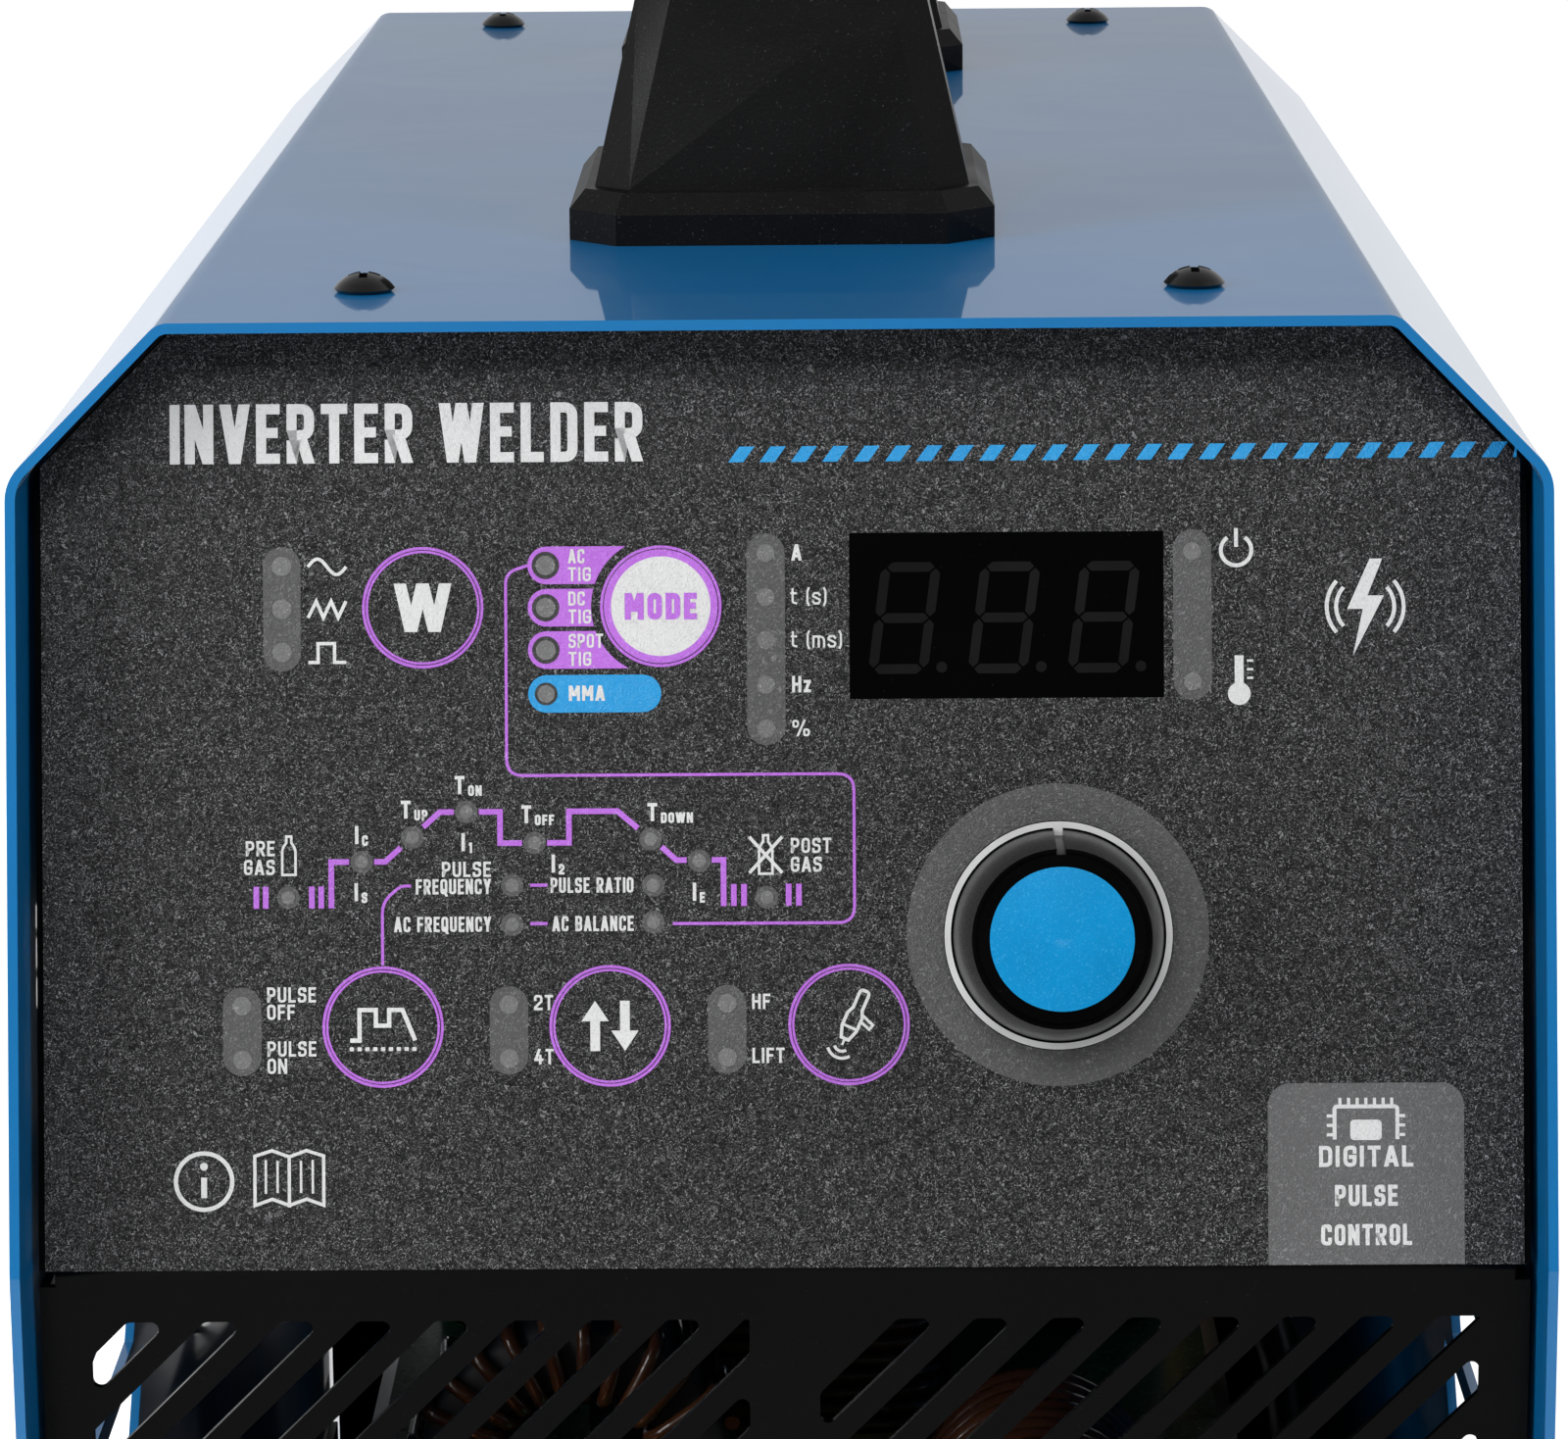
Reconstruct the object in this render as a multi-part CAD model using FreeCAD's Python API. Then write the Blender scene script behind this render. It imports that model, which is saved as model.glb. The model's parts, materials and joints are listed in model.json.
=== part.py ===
import FreeCAD, Part

import math
import os

os.makedirs("parts", exist_ok=True)
V = FreeCAD.Vector

# Portable AC/DC TIG welding inverter.  Millimetres, +Z up, front towards -Y,
# +X to the right as seen from the front.  The origin is on the floor, under
# the middle of the machine's bounding box.

# ---------------------------------------------------------------- case
case_width = 195.0
case_top = 322.7
base_length = 425.6
kink_height = 203.0          # where the front and rear panels start to lean in
rim_kink_rise = 2.5          # the cover's rims start to lean in this much higher
face_lean = 13.0             # degrees
shoulder_drop = 19.3         # 45 degree shoulders beside the flat top
cover_sheet = 1.3
shoulder_bend = 4.5          # inner bend radii of the cover
top_bend = 2.0
cover_lift = 1.0             # cover's lower edge above the tray's underside
panel_recess = 10.7          # panels stand this far inside the cover's rims
panel_sheet = 1.2
panel_side_gap = 0.9         # panel edge to the cover's inner face, at the sides
panel_top_gap = 0.8          # and at the top and the shoulders
panel_bend = 1.6
kink_bend = 6.0
panel_flange = 12.0
top_flange = 24.0
relief_width = 2.2
relief_depth = 1.9
tray_sheet = 1.5
tray_flange = 26.0
tray_end_flange = 20.0
tray_gap = 0.3
foot_height = 14.0
foot_top_radius = 14.0
foot_bottom_radius = 12.0
foot_inset_x = 20.0
foot_inset_y = 46.0
foot_recess_gap = 1.5        # round the bolt's head
foot_bolt_head = 3.0
foot_bolt_reach = 7.0        # above the tray's floor
foot_nut_height = 4.0
foot_nut_radius = 4.6

# ---------------------------------------------------------------- vents
grille_top_drop = 7.0        # first slot edge below the kink
grille_height = 62.0
grille_group = 84.5
grille_centre_bar = 9.0
slot_pitch = 9.9
slot_width = 5.5             # measured along the row
slot_corner = 1.3
slot_phase_left = 4.7        # first slot's upper corner inside its group's left edge
slot_phase_right = 0.1
side_vent_rows = 4
side_vent_pitch = 16.0
side_vent_height = 12.0      # under a finger's width
side_vent_length = 72.0
side_vent_start = 34.6       # behind the cover's lower front rim
side_vent_top_drop = 15.0    # below the kink

# ---------------------------------------------------------------- fasteners and fits
fit_gap = 0.05               # radial gap of running and clamped fits
loose_gap = 0.3
screw_radius = 2.0
screw_head_radius = 4.0
screw_head_height = 2.6
screw_head_rim = 0.5         # height of the flared underside of the domed head
screw_head_foot = 3.5        # radius where the head meets the sheet
screw_length = 9.0
cross_width = 1.1
cross_reach = 2.1
cross_depth = 1.5
cover_screw_x = 54.0
cover_screw_back = 25.4      # behind the flat top's front edge
side_screw_rise = 14.0       # above the tray's underside
side_screw_inset = 60.0
panel_screw_x = 80.0
panel_screw_rise = 11.0

# ---------------------------------------------------------------- control panel
overlay_half_width = 94.4
overlay_sheet = 0.8
overlay_top_gap = 1.0
key_radius = 7.3
key_proud = 0.15
key_travel = 0.35
key_flange_radius = 9.0
key_flange = 0.8
key_stem_radius = 2.0
key_rest_gap = 0.2           # key flange behind the panel sheet
board_depth = 8.2            # board's front face behind the panel's front face
board_sheet = 1.6
board_left = -84.0
board_right = 66.0
board_low = 12.0
board_high = 97.0
switch_side = 6.0
switch_body = 3.4
switch_nub_radius = 1.7
switch_nub = 0.75
key_stem_gap = 0.1           # left above the switch at full travel
standoff_inset = 5.0
standoff_middle = (-30.0, 2.0)
led_radius = 1.5
led_depth = 3.0
led_window = 1.9
standoff_radius = 2.5
keys = {
    "button_waveform": (-45.6, 84.5),
    "button_mode": (-15.2, 84.5),
    "button_pulse": (-51.0, 31.0),
    "button_trigger": (-22.0, 31.0),
    "button_ignition": (8.5, 31.0),
}
leds_waveform = [(-63.6, 84.4 + step * 5.5) for step in (-1, 0, 1)]
leds_process = [(-29.9, 73.4 + step * 5.5) for step in range(4)]
leds_unit = [(-1.8, 68.8 + step * 5.6) for step in range(5)]
leds_state = [(52.6, 91.1), (52.6, 74.5)]
leds_curve = [(-63.0, 47.6), (-53.6, 52.1), (-47.1, 55.2), (-40.2, 58.4), (-31.5, 54.4),
              (-16.7, 54.8), (-10.5, 52.0), (-1.9, 47.3)]
leds_pulse = [(-34.4, 49.0), (-16.4, 49.0), (-34.4, 44.1), (-16.4, 44.1)]
leds_choice = [(column, 30.5 + rise) for column in (-69.0, -34.9, -7.05) for rise in (-3.4, 3.4)]
window_centre = (28.9, 83.1)
window_width = 40.0
window_height = 21.1
window_corner = 0.3
module_width = 37.6
module_height = 19.0
module_gap = 0.3

# ---------------------------------------------------------------- knob and encoder
knob_place = (35.2, 42.3)
encoder_side = 13.0
encoder_wall = 1.4
shaft_radius = 3.0
shaft_tip = 13.0             # above the panel's front face
bushing_wall = 0.5
bushing_radius = shaft_radius + bushing_wall
bushing_tip = 4.6
encoder_nut_wall = 2.3
encoder_nut_radius = bushing_radius + encoder_nut_wall
encoder_nut_height = 2.0
push_travel = 0.5
collar_step = 1.3             # collar beyond the shaft
collar_radius = shaft_radius + collar_step
collar_room = 0.4
encoder_cavity_radius = collar_radius + collar_room
collar_height = 0.8
plunger_height = 1.4
collar_gap = 0.1
plunger_room = 0.3           # left below the plunger at full travel
knob_lift = 1.6              # knob's underside above the panel's front face
knob_skirt_radius = 14.6
knob_skirt = 1.7
knob_base_radius = 13.5
knob_face_radius = 11.3
knob_height = 14.0
knob_hollow_radius = 8.0
knob_hollow = 3.6
ring_radius = 14.1
ring_width = 0.8
ring_depth = 0.3
pointer_width = 1.2
notch_depth = 0.8
groove_radius = 10.7
groove_width = 0.4
groove_depth = 0.5
cap_radius = 9.1
cap_depth = 1.6
cap_dome = 0.6

# ---------------------------------------------------------------- carrying handle
handle_front_setback = 64.2  # first leg behind the flat top's front edge
handle_leg_pitch = 200.0
base_width = 58.6
base_depth = 60.0
base_corner = 6.6
base_lip = 4.3
base_height = 7.0
base_slope = 2.2
leg_widths = [(7.0, 51.7, 50.0), (34.0, 39.5, 38.0), (58.0, 35.0, 33.0), (68.0, 27.0, 26.0)]
leg_bevel = 4.9
leg_front_step = 5.0         # leg's front face behind the base's front edge
leg_front_slope = 0.12
bolt_rise = 48.0
bolt_radius = 2.5
bolt_head_radius = 4.4
bolt_head_height = 5.0
bolt_hole_radius = 5.0
bolt_hole_depth = 9.0
bolt_length = 32.0
bolt_key_depth = 3.0
bolt_key_radius = 2.6
grip_width = 33.0
grip_height = 26.0
grip_corner = 10.0
grip_tenon = 9.0
grip_tenon_width = 17.0
grip_tenon_height = 15.0
grip_tenon_corner = 2.0
base_screw_x = 16.0
base_screw_length = 16.0
base_screw_spare = 4.0       # the hole is this much shorter than the screw and the sheet

# ---------------------------------------------------------------- front connections
socket_x = 62.0
connection_height = 66.0
socket_stand = 20.0
socket_flange_radius = 21.5
socket_flange = 7.0
socket_nose_radius = 18.0
socket_nose_taper = 1.0
socket_neck_radius = 15.5
socket_neck = 14.0
socket_bore_radius = 6.5
socket_bore_depth = 34.0
contact_radius = 9.5
contact_recess = 3.0
contact_length = 47.0
contact_key_width = 4.0
contact_key_reach = 8.4
stud_radius = 5.0
stud_length = 15.0
stud_nut_height = 8.0
stud_nut_radius = 9.0
lock_nut_radius = 20.5
lock_nut_height = 6.0
connector_x = -18.0
connector_stand = 13.0
connector_radius = 8.0
connector_flange_radius = 10.5
connector_flange = 2.5
connector_tail = 16.0
connector_pin_circle = 3.6
connector_pins = 5
connector_pin_radius = 0.9
connector_pin_depth = 2.0    # holes' ends behind the panel's front face
connector_wall = 1.5
connector_core_drop = 1.0
outlet_x = 18.0
fitting_stand = 22.0
fitting_nose_radius = 6.0
fitting_hex_radius = 10.0
fitting_hex = 6.0
fitting_bore_radius = 2.0
fitting_tail = 30.0
fitting_tail_radius = 4.0
fitting_thread = 8.0         # thicker part behind the panel

# ---------------------------------------------------------------- rear connections and fan
fan_x = 28.0                 # to the right as seen from behind
fan_rise = 95.0
fan_side = 120.0
fan_depth = 25.0
fan_corner = 6.0
fan_wall = 2.0
fan_bore_radius = fan_side / 2 - fan_wall
fan_tip_gap = 1.5
fan_hub_radius = 20.0
fan_hole_inset = 7.5         # hole centres inside the frame's edges
fan_hole_offset = fan_side / 2 - fan_hole_inset
fan_shaft_radius = 1.5
fan_motor_radius = 18.0
fan_motor_plate = 4.0
fan_boss = 8.0
fan_boss_radius = 3.5
fan_struts = 4
fan_strut_width = 4.0
fan_hub_gap = 0.8            # rotor to the motor plate
fan_front_gap = 4.0          # rotor to the panel
fan_hub_cap = 2.0
fan_hub_wall = 1.8
fan_shaft_gap = 0.4          # shaft's end inside the plate
fan_blades = 7
fan_blade_chord = 21.0
fan_blade_sheet = 1.6
fan_blade_pitch = 34.0
guard_wire = 2.0             # thickness of the guard's round wires
guard_lift = 1.0             # wires' lowest side above the panel
guard_pitch = 8.0
guard_count = 7
guard_rings = [fan_side / 2 - guard_pitch * step for step in reversed(range(guard_count))]
guard_eye_radius = 5.0
guard_eye = 2.2              # thickness of the flattened eyes
rear_column_x = -62.0
gland_rise = 48.0
gland_bore_radius = 6.5
gland_thread_radius = 10.0
gland_hex_radius = 15.5
gland_hex = 7.0
gland_stand = 26.0
gland_dome_radius = 13.0
gland_neck_drop = 12.0       # threaded neck's end below the dome's
gland_thread = 12.0          # behind the panel
gland_nut = 5.0
gland_dome_start = 0.5
gland_dome_hex = 9.0
gland_dome_inset = 1.5
gland_dome_edge = 0.5
gland_lip = 2.5
inlet_rise = 102.0
inlet_stand = 36.0
inlet_nipple_radius = 4.0
inlet_nipple = 22.0
inlet_reach = 12.0           # behind the panel sheet
valve_width = 26.0
valve_depth = 30.0
valve_coil_radius = 14.0
valve_coil_height = 32.0
valve_port = 8.0
valve_core_radius = 5.0
valve_core_stand = 4.0
valve_seat_gap = 0.5
switch_place = (-48.0, 58.0)
switch_flange_x = 13.0
switch_flange_v = 16.5
switch_flange = 2.0
switch_depth = 24.0
switch_body_x = 11.0
switch_body_v = 14.5
switch_well_x = 9.2
switch_well_v = 12.8
switch_well_depth = 16.0
rocker_reach = 11.3
rocker_tilt = 12.0
rocker_pivot_depth = 2.0
rocker_pin_radius = 1.5
rocker_seat = 1.2            # pivot seats' depth in the well's sides
rocker_pin_reach = 1.0
rocker_side_gap = 0.2
rocker_high = 3.3
rocker_deep = 4.0
rocker_dip = 0.8
rocker_corner = 0.6

# ---------------------------------------------------------------- power electronics
sink_width = 68.0
sink_gap = 18.0
sink_base = 8.0
sink_fin = 52.0
sink_fin_sheet = 2.2
sink_fin_count = 9
sink_front = -98.0
sink_back = 122.0
rail_height = 8.0
rail_depth = 12.0
rail_inset = 16.0
module_block = (30.0, 56.0, 10.0)
module_places = (0.25, 0.72)  # along the heatsinks
power_board_half = 72.0
capacitor_radius = 15.5
capacitor_height = 52.0
capacitor_pitch = 34.0
capacitor_count = 4
capacitor_inset = 30.0
core_width = 70.0
core_depth = 28.0
core_height = 58.0
core_yoke = 10.0
core_window = 16.0
core_leg = 18.0
winding_overhang = 12.0
winding_gap = 0.4
winding_corner = 8.0
choke_place = (-34.0, -60.0)
choke_radius = 27.0
choke_bore = 12.0
choke_width = 26.0
hf_place = (38.0, -60.0)
hf_radius = 18.0
hf_length = 40.0
hf_bore = 6.0
busbar_width = 14.0
busbar_sheet = 3.0
hose_radius = 4.0
hose_side_gap = 9.0          # hose's middle inside the panel's edge

# ---------------------------------------------------------------- derived places
lean_tan = math.tan(math.radians(face_lean))
rim_kink = kink_height + rim_kink_rise
setback = (case_top - rim_kink) * lean_tan
front_reach = fitting_stand - panel_recess
rear_reach = inlet_stand - panel_recess
front_rim = front_reach - (front_reach + base_length + rear_reach) / 2
rear_rim = front_rim + base_length
case_middle = (front_rim + rear_rim) / 2
front_wall = front_rim + panel_recess
rear_wall = rear_rim - panel_recess
top_front = front_rim + setback
top_back = rear_rim - setback
floor_top = foot_height + tray_sheet
half_width = case_width / 2
inner_half = half_width - cover_sheet
panel_half = inner_half - panel_side_gap
hidden = 60.0                # how far cutting tools reach past what they cut

# Local frames: x to the right and y up along the surface as seen from outside,
# z outwards from the panel's outer face.
FRONT_WALL = FreeCAD.Placement(V(0, front_wall, 0), FreeCAD.Rotation(V(1, 0, 0), 90))
FRONT_FACE = FreeCAD.Placement(V(0, front_wall, kink_height),
                               FreeCAD.Rotation(V(1, 0, 0), 90 - face_lean))
HALF_TURN = FreeCAD.Rotation(V(0, 0, 1), 180)
REAR_WALL = FreeCAD.Placement(V(0, rear_wall, 0),
                              HALF_TURN.multiply(FreeCAD.Rotation(V(1, 0, 0), 90)))
REAR_FACE = FreeCAD.Placement(V(0, rear_wall, kink_height),
                              HALF_TURN.multiply(FreeCAD.Rotation(V(1, 0, 0), 90 - face_lean)))
SIDEWAYS = FreeCAD.Placement(V(0, 0, 0), FreeCAD.Rotation(V(1, 1, 1), 120))
UPRIGHT = FreeCAD.Placement(V(0, 0, 0), FreeCAD.Rotation(V(1, 0, 0), 90))


# ---------------------------------------------------------------- shape helpers
def placed(shape, frame):
    moved = shape.copy()
    moved.Placement = frame.multiply(moved.Placement)
    return moved


def block(x0, x1, y0, y1, z0, z1):
    return Part.makeBox(x1 - x0, y1 - y0, z1 - z0, V(x0, y0, z0))


def centred(x, y, width, height, z0, z1):
    return block(x - width / 2, x + width / 2, y - height / 2, y + height / 2, z0, z1)


def rod(x, y, z0, z1, radius):
    return Part.makeCylinder(radius, z1 - z0, V(x, y, z0))


def cone(x, y, z0, z1, low_radius, high_radius):
    return Part.makeCone(low_radius, high_radius, z1 - z0, V(x, y, z0))


def pin(start, direction, length, radius):
    return Part.makeCylinder(radius, length, start, direction)


def hexagon(x, y, z0, z1, radius):
    corners = [math.radians(60 * step) for step in range(6)]
    return slab([(x + radius * math.cos(a), y + radius * math.sin(a)) for a in corners], z0, z1)


def outline(points, radii):
    """Closed wire in the XY plane; each corner is rounded as far as its edges allow."""
    corners = [V(x, y, 0) for x, y in points]
    count = len(corners)
    stops = []
    for index, corner in enumerate(corners):
        back = corners[index - 1] - corner
        ahead = corners[(index + 1) % count] - corner
        radius = radii[index]
        half = back.getAngle(ahead) / 2
        if radius <= 0 or abs(half - math.pi / 2) < 1e-6:
            stops.append((corner, None, corner))
            continue
        reach = min(radius / math.tan(half), 0.45 * back.Length, 0.45 * ahead.Length)
        radius = reach * math.tan(half)
        back.normalize()
        ahead.normalize()
        inward = back + ahead
        inward.normalize()
        middle = corner + inward * (radius / math.sin(half) - radius)
        stops.append((corner + back * reach, middle, corner + ahead * reach))
    edges = []
    for index, (entry, middle, leave) in enumerate(stops):
        if middle is not None:
            edges.append(Part.Arc(entry, middle, leave).toShape())
        following = stops[(index + 1) % count][0]
        edges.append(Part.LineSegment(leave, following).toShape())
    return Part.Wire(edges)


def slab(points, z0, z1, radius=0.0, radii=None):
    if radii is None:
        radii = [radius] * len(points)
    face = Part.Face(outline(points, radii))
    face.translate(V(0, 0, z0))
    return face.extrude(V(0, 0, z1 - z0))


def rectangle(x, y, width, height):
    left, right = x - width / 2, x + width / 2
    low, high = y - height / 2, y + height / 2
    return [(left, low), (right, low), (right, high), (left, high)]


def pad(x, y, width, height, z0, z1, radius):
    return slab(rectangle(x, y, width, height), z0, z1, radius)


def ring(x, y, z0, z1, outer, inner):
    return rod(x, y, z0, z1, outer).cut(rod(x, y, z0 - 1, z1 + 1, inner))


def many(shapes):
    return Part.makeCompound(shapes)


def joined(shapes):
    return shapes[0].fuse(shapes[1:]).removeSplitter()


def case_outline(side_inset, top_inset, bottom):
    """Points (x, z) of the six-sided case section, moved in from the outer faces."""
    side = half_width - side_inset
    top = case_top - top_inset
    slope = half_width + case_top - shoulder_drop - top_inset * math.sqrt(2)
    shoulder = slope - side
    corner = slope - top
    return [(side, bottom), (side, shoulder), (corner, top), (-corner, top), (-side, shoulder),
            (-side, bottom)]


def case_prism(side_inset, top_inset, y0, y1):
    return placed(slab(case_outline(side_inset, top_inset, 0), -y1, -y0), UPRIGHT)


def side_slab(points, x0, x1, radii=None):
    """Points (y, z) swept along X."""
    return placed(slab(points, x0, x1, radii=radii), SIDEWAYS)


def clipped(points, limits):
    """Cuts a convex outline to the box (x0, x1, y0, y1)."""
    x0, x1, y0, y1 = limits
    for axis, bound, sign in ((0, x0, 1), (0, x1, -1), (1, y0, 1), (1, y1, -1)):
        kept = []
        for index, point in enumerate(points):
            before = points[index - 1]
            here = sign * (point[axis] - bound)
            there = sign * (before[axis] - bound)
            if here * there < 0:
                share = there / (there - here)
                kept.append(tuple(b + share * (p - b) for b, p in zip(before, point)))
            if here >= 0:
                kept.append(point)
        points = kept
    return points


def area(points):
    turns = [a[0] * b[1] - b[0] * a[1] for a, b in zip(points, points[1:] + points[:1])]
    return abs(sum(turns)) / 2


def slant_slots(x0, x1, y0, y1, pitch, width, phase, corner):
    """Rows of slots that rise to the right at 45 degrees, cut off by their group's edges."""
    height = y1 - y0
    slots = []
    start = x0 - height + phase
    for step in range(int((x1 - start) / pitch) + 1):
        foot = start + step * pitch
        strip = [(foot, y0), (foot + width, y0), (foot + width + height, y1), (foot + height, y1)]
        shape = clipped(strip, (x0, x1, y0, y1))
        if len(shape) > 2 and area(shape) > 0.7 * width * width:
            slots.append(slab(shape, -hidden, hidden, corner))
    return slots


def pan_screw(length):
    """Cross-head screw standing on z = 0 with its shank below."""
    rise = screw_head_height - screw_head_rim
    dome_radius = (screw_head_radius ** 2 + rise ** 2) / (2 * rise)
    dome = Part.makeSphere(dome_radius, V(0, 0, screw_head_height - dome_radius))
    dome = dome.common(rod(0, 0, screw_head_rim, screw_head_height + 1, screw_head_radius))
    head = joined([cone(0, 0, 0, screw_head_rim, screw_head_foot, screw_head_radius), dome])
    low = screw_head_height - cross_depth
    head = head.cut(centred(0, 0, 2 * cross_reach, cross_width, low, screw_head_height + 1))
    head = head.cut(centred(0, 0, cross_width, 2 * cross_reach, low, screw_head_height + 1))
    return joined([head, rod(0, 0, -length, 0, screw_radius - fit_gap)])


def standing(shape, x, y, z=0.0):
    moved = shape.copy()
    moved.translate(V(x, y, z))
    return moved


nodes = {}

# ---------------------------------------------------------------- where the case screws go
screw_down = pan_screw(screw_length)
top_screw_places = []
for across in (-cover_screw_x, cover_screw_x):
    top_screw_places.append(V(across, top_front + cover_screw_back, case_top))
    top_screw_places.append(V(across, top_back - cover_screw_back, case_top))
side_screw_places = []
for along in (front_rim + side_screw_inset, case_middle, rear_rim - side_screw_inset):
    side_screw_places.append((along, foot_height + side_screw_rise))
panel_screw_places = [(across, foot_height + panel_screw_rise)
                      for across in (-panel_screw_x, 0.0, panel_screw_x)]
foot_places = []
for across in (-1, 1):
    for along in (front_rim + foot_inset_y, rear_rim - foot_inset_y):
        foot_places.append((across * (half_width - foot_inset_x), along))


def side_frame(sign, along, rise, out):
    """Frame on a side wall with local z pointing out of the case."""
    turn = FreeCAD.Rotation(V(0, 1, 0), 90 * sign)
    return FreeCAD.Placement(V(sign * out, along, rise), turn)


case_screw_shapes = [standing(screw_down, place.x, place.y, place.z) for place in top_screw_places]
for sign in (-1, 1):
    for along, rise in side_screw_places:
        case_screw_shapes.append(placed(screw_down, side_frame(sign, along, rise, half_width)))
for across, rise in panel_screw_places:
    case_screw_shapes.append(placed(standing(screw_down, across, rise), FRONT_WALL))
    case_screw_shapes.append(placed(standing(screw_down, across, rise), REAR_WALL))
nodes["case_screws"] = many(case_screw_shapes)


# ---------------------------------------------------------------- cover
def make_cover():
    bottom = foot_height + cover_lift
    outer = case_outline(0, 0, bottom)
    inner = case_outline(cover_sheet, cover_sheet, bottom)
    outer_bends = [0, shoulder_bend, top_bend, top_bend, shoulder_bend, 0]
    radii = [bend + cover_sheet if bend else 0 for bend in outer_bends]
    radii += list(reversed(outer_bends))
    skin = placed(slab(outer + list(reversed(inner)), -rear_rim, -front_rim, radii=radii), UPRIGHT)
    over = case_top + 10
    lean_over = setback + 10 * lean_tan
    profile = [(front_rim, 0), (rear_rim, 0), (rear_rim, rim_kink), (rear_rim - lean_over, over),
               (front_rim + lean_over, over), (front_rim, rim_kink)]
    skin = skin.common(side_slab(profile, -half_width - 1, half_width + 1))
    tools = []
    vent_top = kink_height - side_vent_top_drop
    vent_reach = side_vent_length + side_vent_height
    for start in (front_rim + side_vent_start, rear_rim - side_vent_start - vent_reach):
        for row in range(side_vent_rows):
            high = vent_top - row * side_vent_pitch
            low = high - side_vent_height
            louvre = [(start, low), (start + side_vent_length, low), (start + vent_reach, high),
                      (start + side_vent_height, high)]
            slot = slab(louvre, -hidden, hidden, slot_corner)
            tools.append(placed(standing(slot, 0, 0, -hidden), SIDEWAYS))
            tools.append(placed(standing(slot, 0, 0, hidden), SIDEWAYS))
    for place in top_screw_places:
        tools.append(rod(place.x, place.y, case_top - 5, case_top + 5, screw_radius))
    for sign in (-1, 1):
        for along, rise in side_screw_places:
            tools.append(placed(rod(0, 0, -5, 5, screw_radius), side_frame(sign, along, rise, half_width)))
    for across, along in base_screw_places:
        tools.append(rod(across, along, case_top - 5, case_top + 5, bolt_radius + loose_gap))
    return skin.cut(tools)


# ---------------------------------------------------------------- handle
leg_fronts = [top_front + handle_front_setback, top_front + handle_front_setback + handle_leg_pitch]
base_screw_places = []
for leg_front in leg_fronts:
    for across in (-base_screw_x, base_screw_x):
        base_screw_places.append((across, leg_front + base_depth / 2))


def leg_section(level, width, front, back):
    points = rectangle(0, (front + back) / 2, width, back - front)
    chamfered = []
    for index, (x, y) in enumerate(points):
        before, after = points[index - 1], points[(index + 1) % 4]
        for other in (before, after):
            reach = math.hypot(other[0] - x, other[1] - y)
            share = leg_bevel / reach
            chamfered.append(V(x + (other[0] - x) * share, y + (other[1] - y) * share, level))
    return Part.makePolygon(chamfered + chamfered[:1])


def make_leg():
    """Leg standing at z = 0 with its base's front edge at y = 0; the grip leaves towards +Y."""
    corners = []
    for level, inset in ((0.0, 0.0), (base_lip, 0.0), (base_height, base_slope)):
        width, depth, cut = base_width - 2 * inset, base_depth - 2 * inset, base_corner - inset * 0.6
        half_w, half_d, mid = width / 2, depth / 2, base_depth / 2
        corners.append([V(-half_w + cut, mid - half_d, level), V(half_w - cut, mid - half_d, level),
                        V(half_w, mid - half_d + cut, level), V(half_w, mid + half_d - cut, level),
                        V(half_w - cut, mid + half_d, level), V(-half_w + cut, mid + half_d, level),
                        V(-half_w, mid + half_d - cut, level), V(-half_w, mid - half_d + cut, level)])
    base = Part.makeLoft([Part.makePolygon(ring_ + ring_[:1]) for ring_ in corners], True, True)
    sections = []
    for level, width, depth in leg_widths:
        front = leg_front_step + leg_front_slope * (level - leg_widths[0][0])
        sections.append(leg_section(level, width, front, leg_back))
    column = Part.makeLoft(sections, True, True)
    leg = joined([base, column])
    tenon_hole = pad(0, bolt_rise, grip_tenon_width + 2 * loose_gap, grip_tenon_height + 2 * loose_gap,
                     -leg_back - 1, -leg_back + grip_tenon + loose_gap, grip_tenon_corner)
    face = leg_front_step + leg_front_slope * (bolt_rise - leg_widths[0][0])
    counterbore = pin(V(0, -1, bolt_rise), V(0, 1, 0), face + bolt_hole_depth + 1, bolt_hole_radius)
    hole = pin(V(0, 0, bolt_rise), V(0, 1, 0), leg_back, bolt_radius + loose_gap)
    leg = leg.cut([placed(tenon_hole, UPRIGHT), counterbore, hole])
    blind = [rod(across, base_depth / 2, -1, base_screw_length - base_screw_spare, bolt_radius + fit_gap)
             for across in (-base_screw_x, base_screw_x)]
    return leg.cut(blind), face + bolt_hole_depth


leg_back = leg_front_step + leg_widths[0][2]
leg_shape, bolt_seat = make_leg()
front_leg_frame = FreeCAD.Placement(V(0, leg_fronts[0], case_top), FreeCAD.Rotation())
rear_leg_frame = FreeCAD.Placement(V(0, leg_fronts[1] + base_depth, case_top), HALF_TURN)
nodes["handle_leg_front"] = placed(leg_shape, front_leg_frame)
nodes["handle_leg_rear"] = placed(leg_shape, rear_leg_frame)
grip_start = leg_fronts[0] + leg_back
grip_end = leg_fronts[1] + base_depth - leg_back


def make_grip():
    height = case_top + bolt_rise
    bar = placed(pad(0, height, grip_width, grip_height, -grip_end, -grip_start, grip_corner), UPRIGHT)
    tenon = placed(pad(0, height, grip_tenon_width, grip_tenon_height, -grip_end - grip_tenon,
                       -grip_start + grip_tenon, grip_tenon_corner), UPRIGHT)
    holes = []
    for start, way in ((grip_start - grip_tenon - 1, 1), (grip_end + grip_tenon + 1, -1)):
        holes.append(pin(V(0, start, height), V(0, way, 0), bolt_length, bolt_radius + fit_gap))
    return joined([bar, tenon]).cut(holes)


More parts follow.
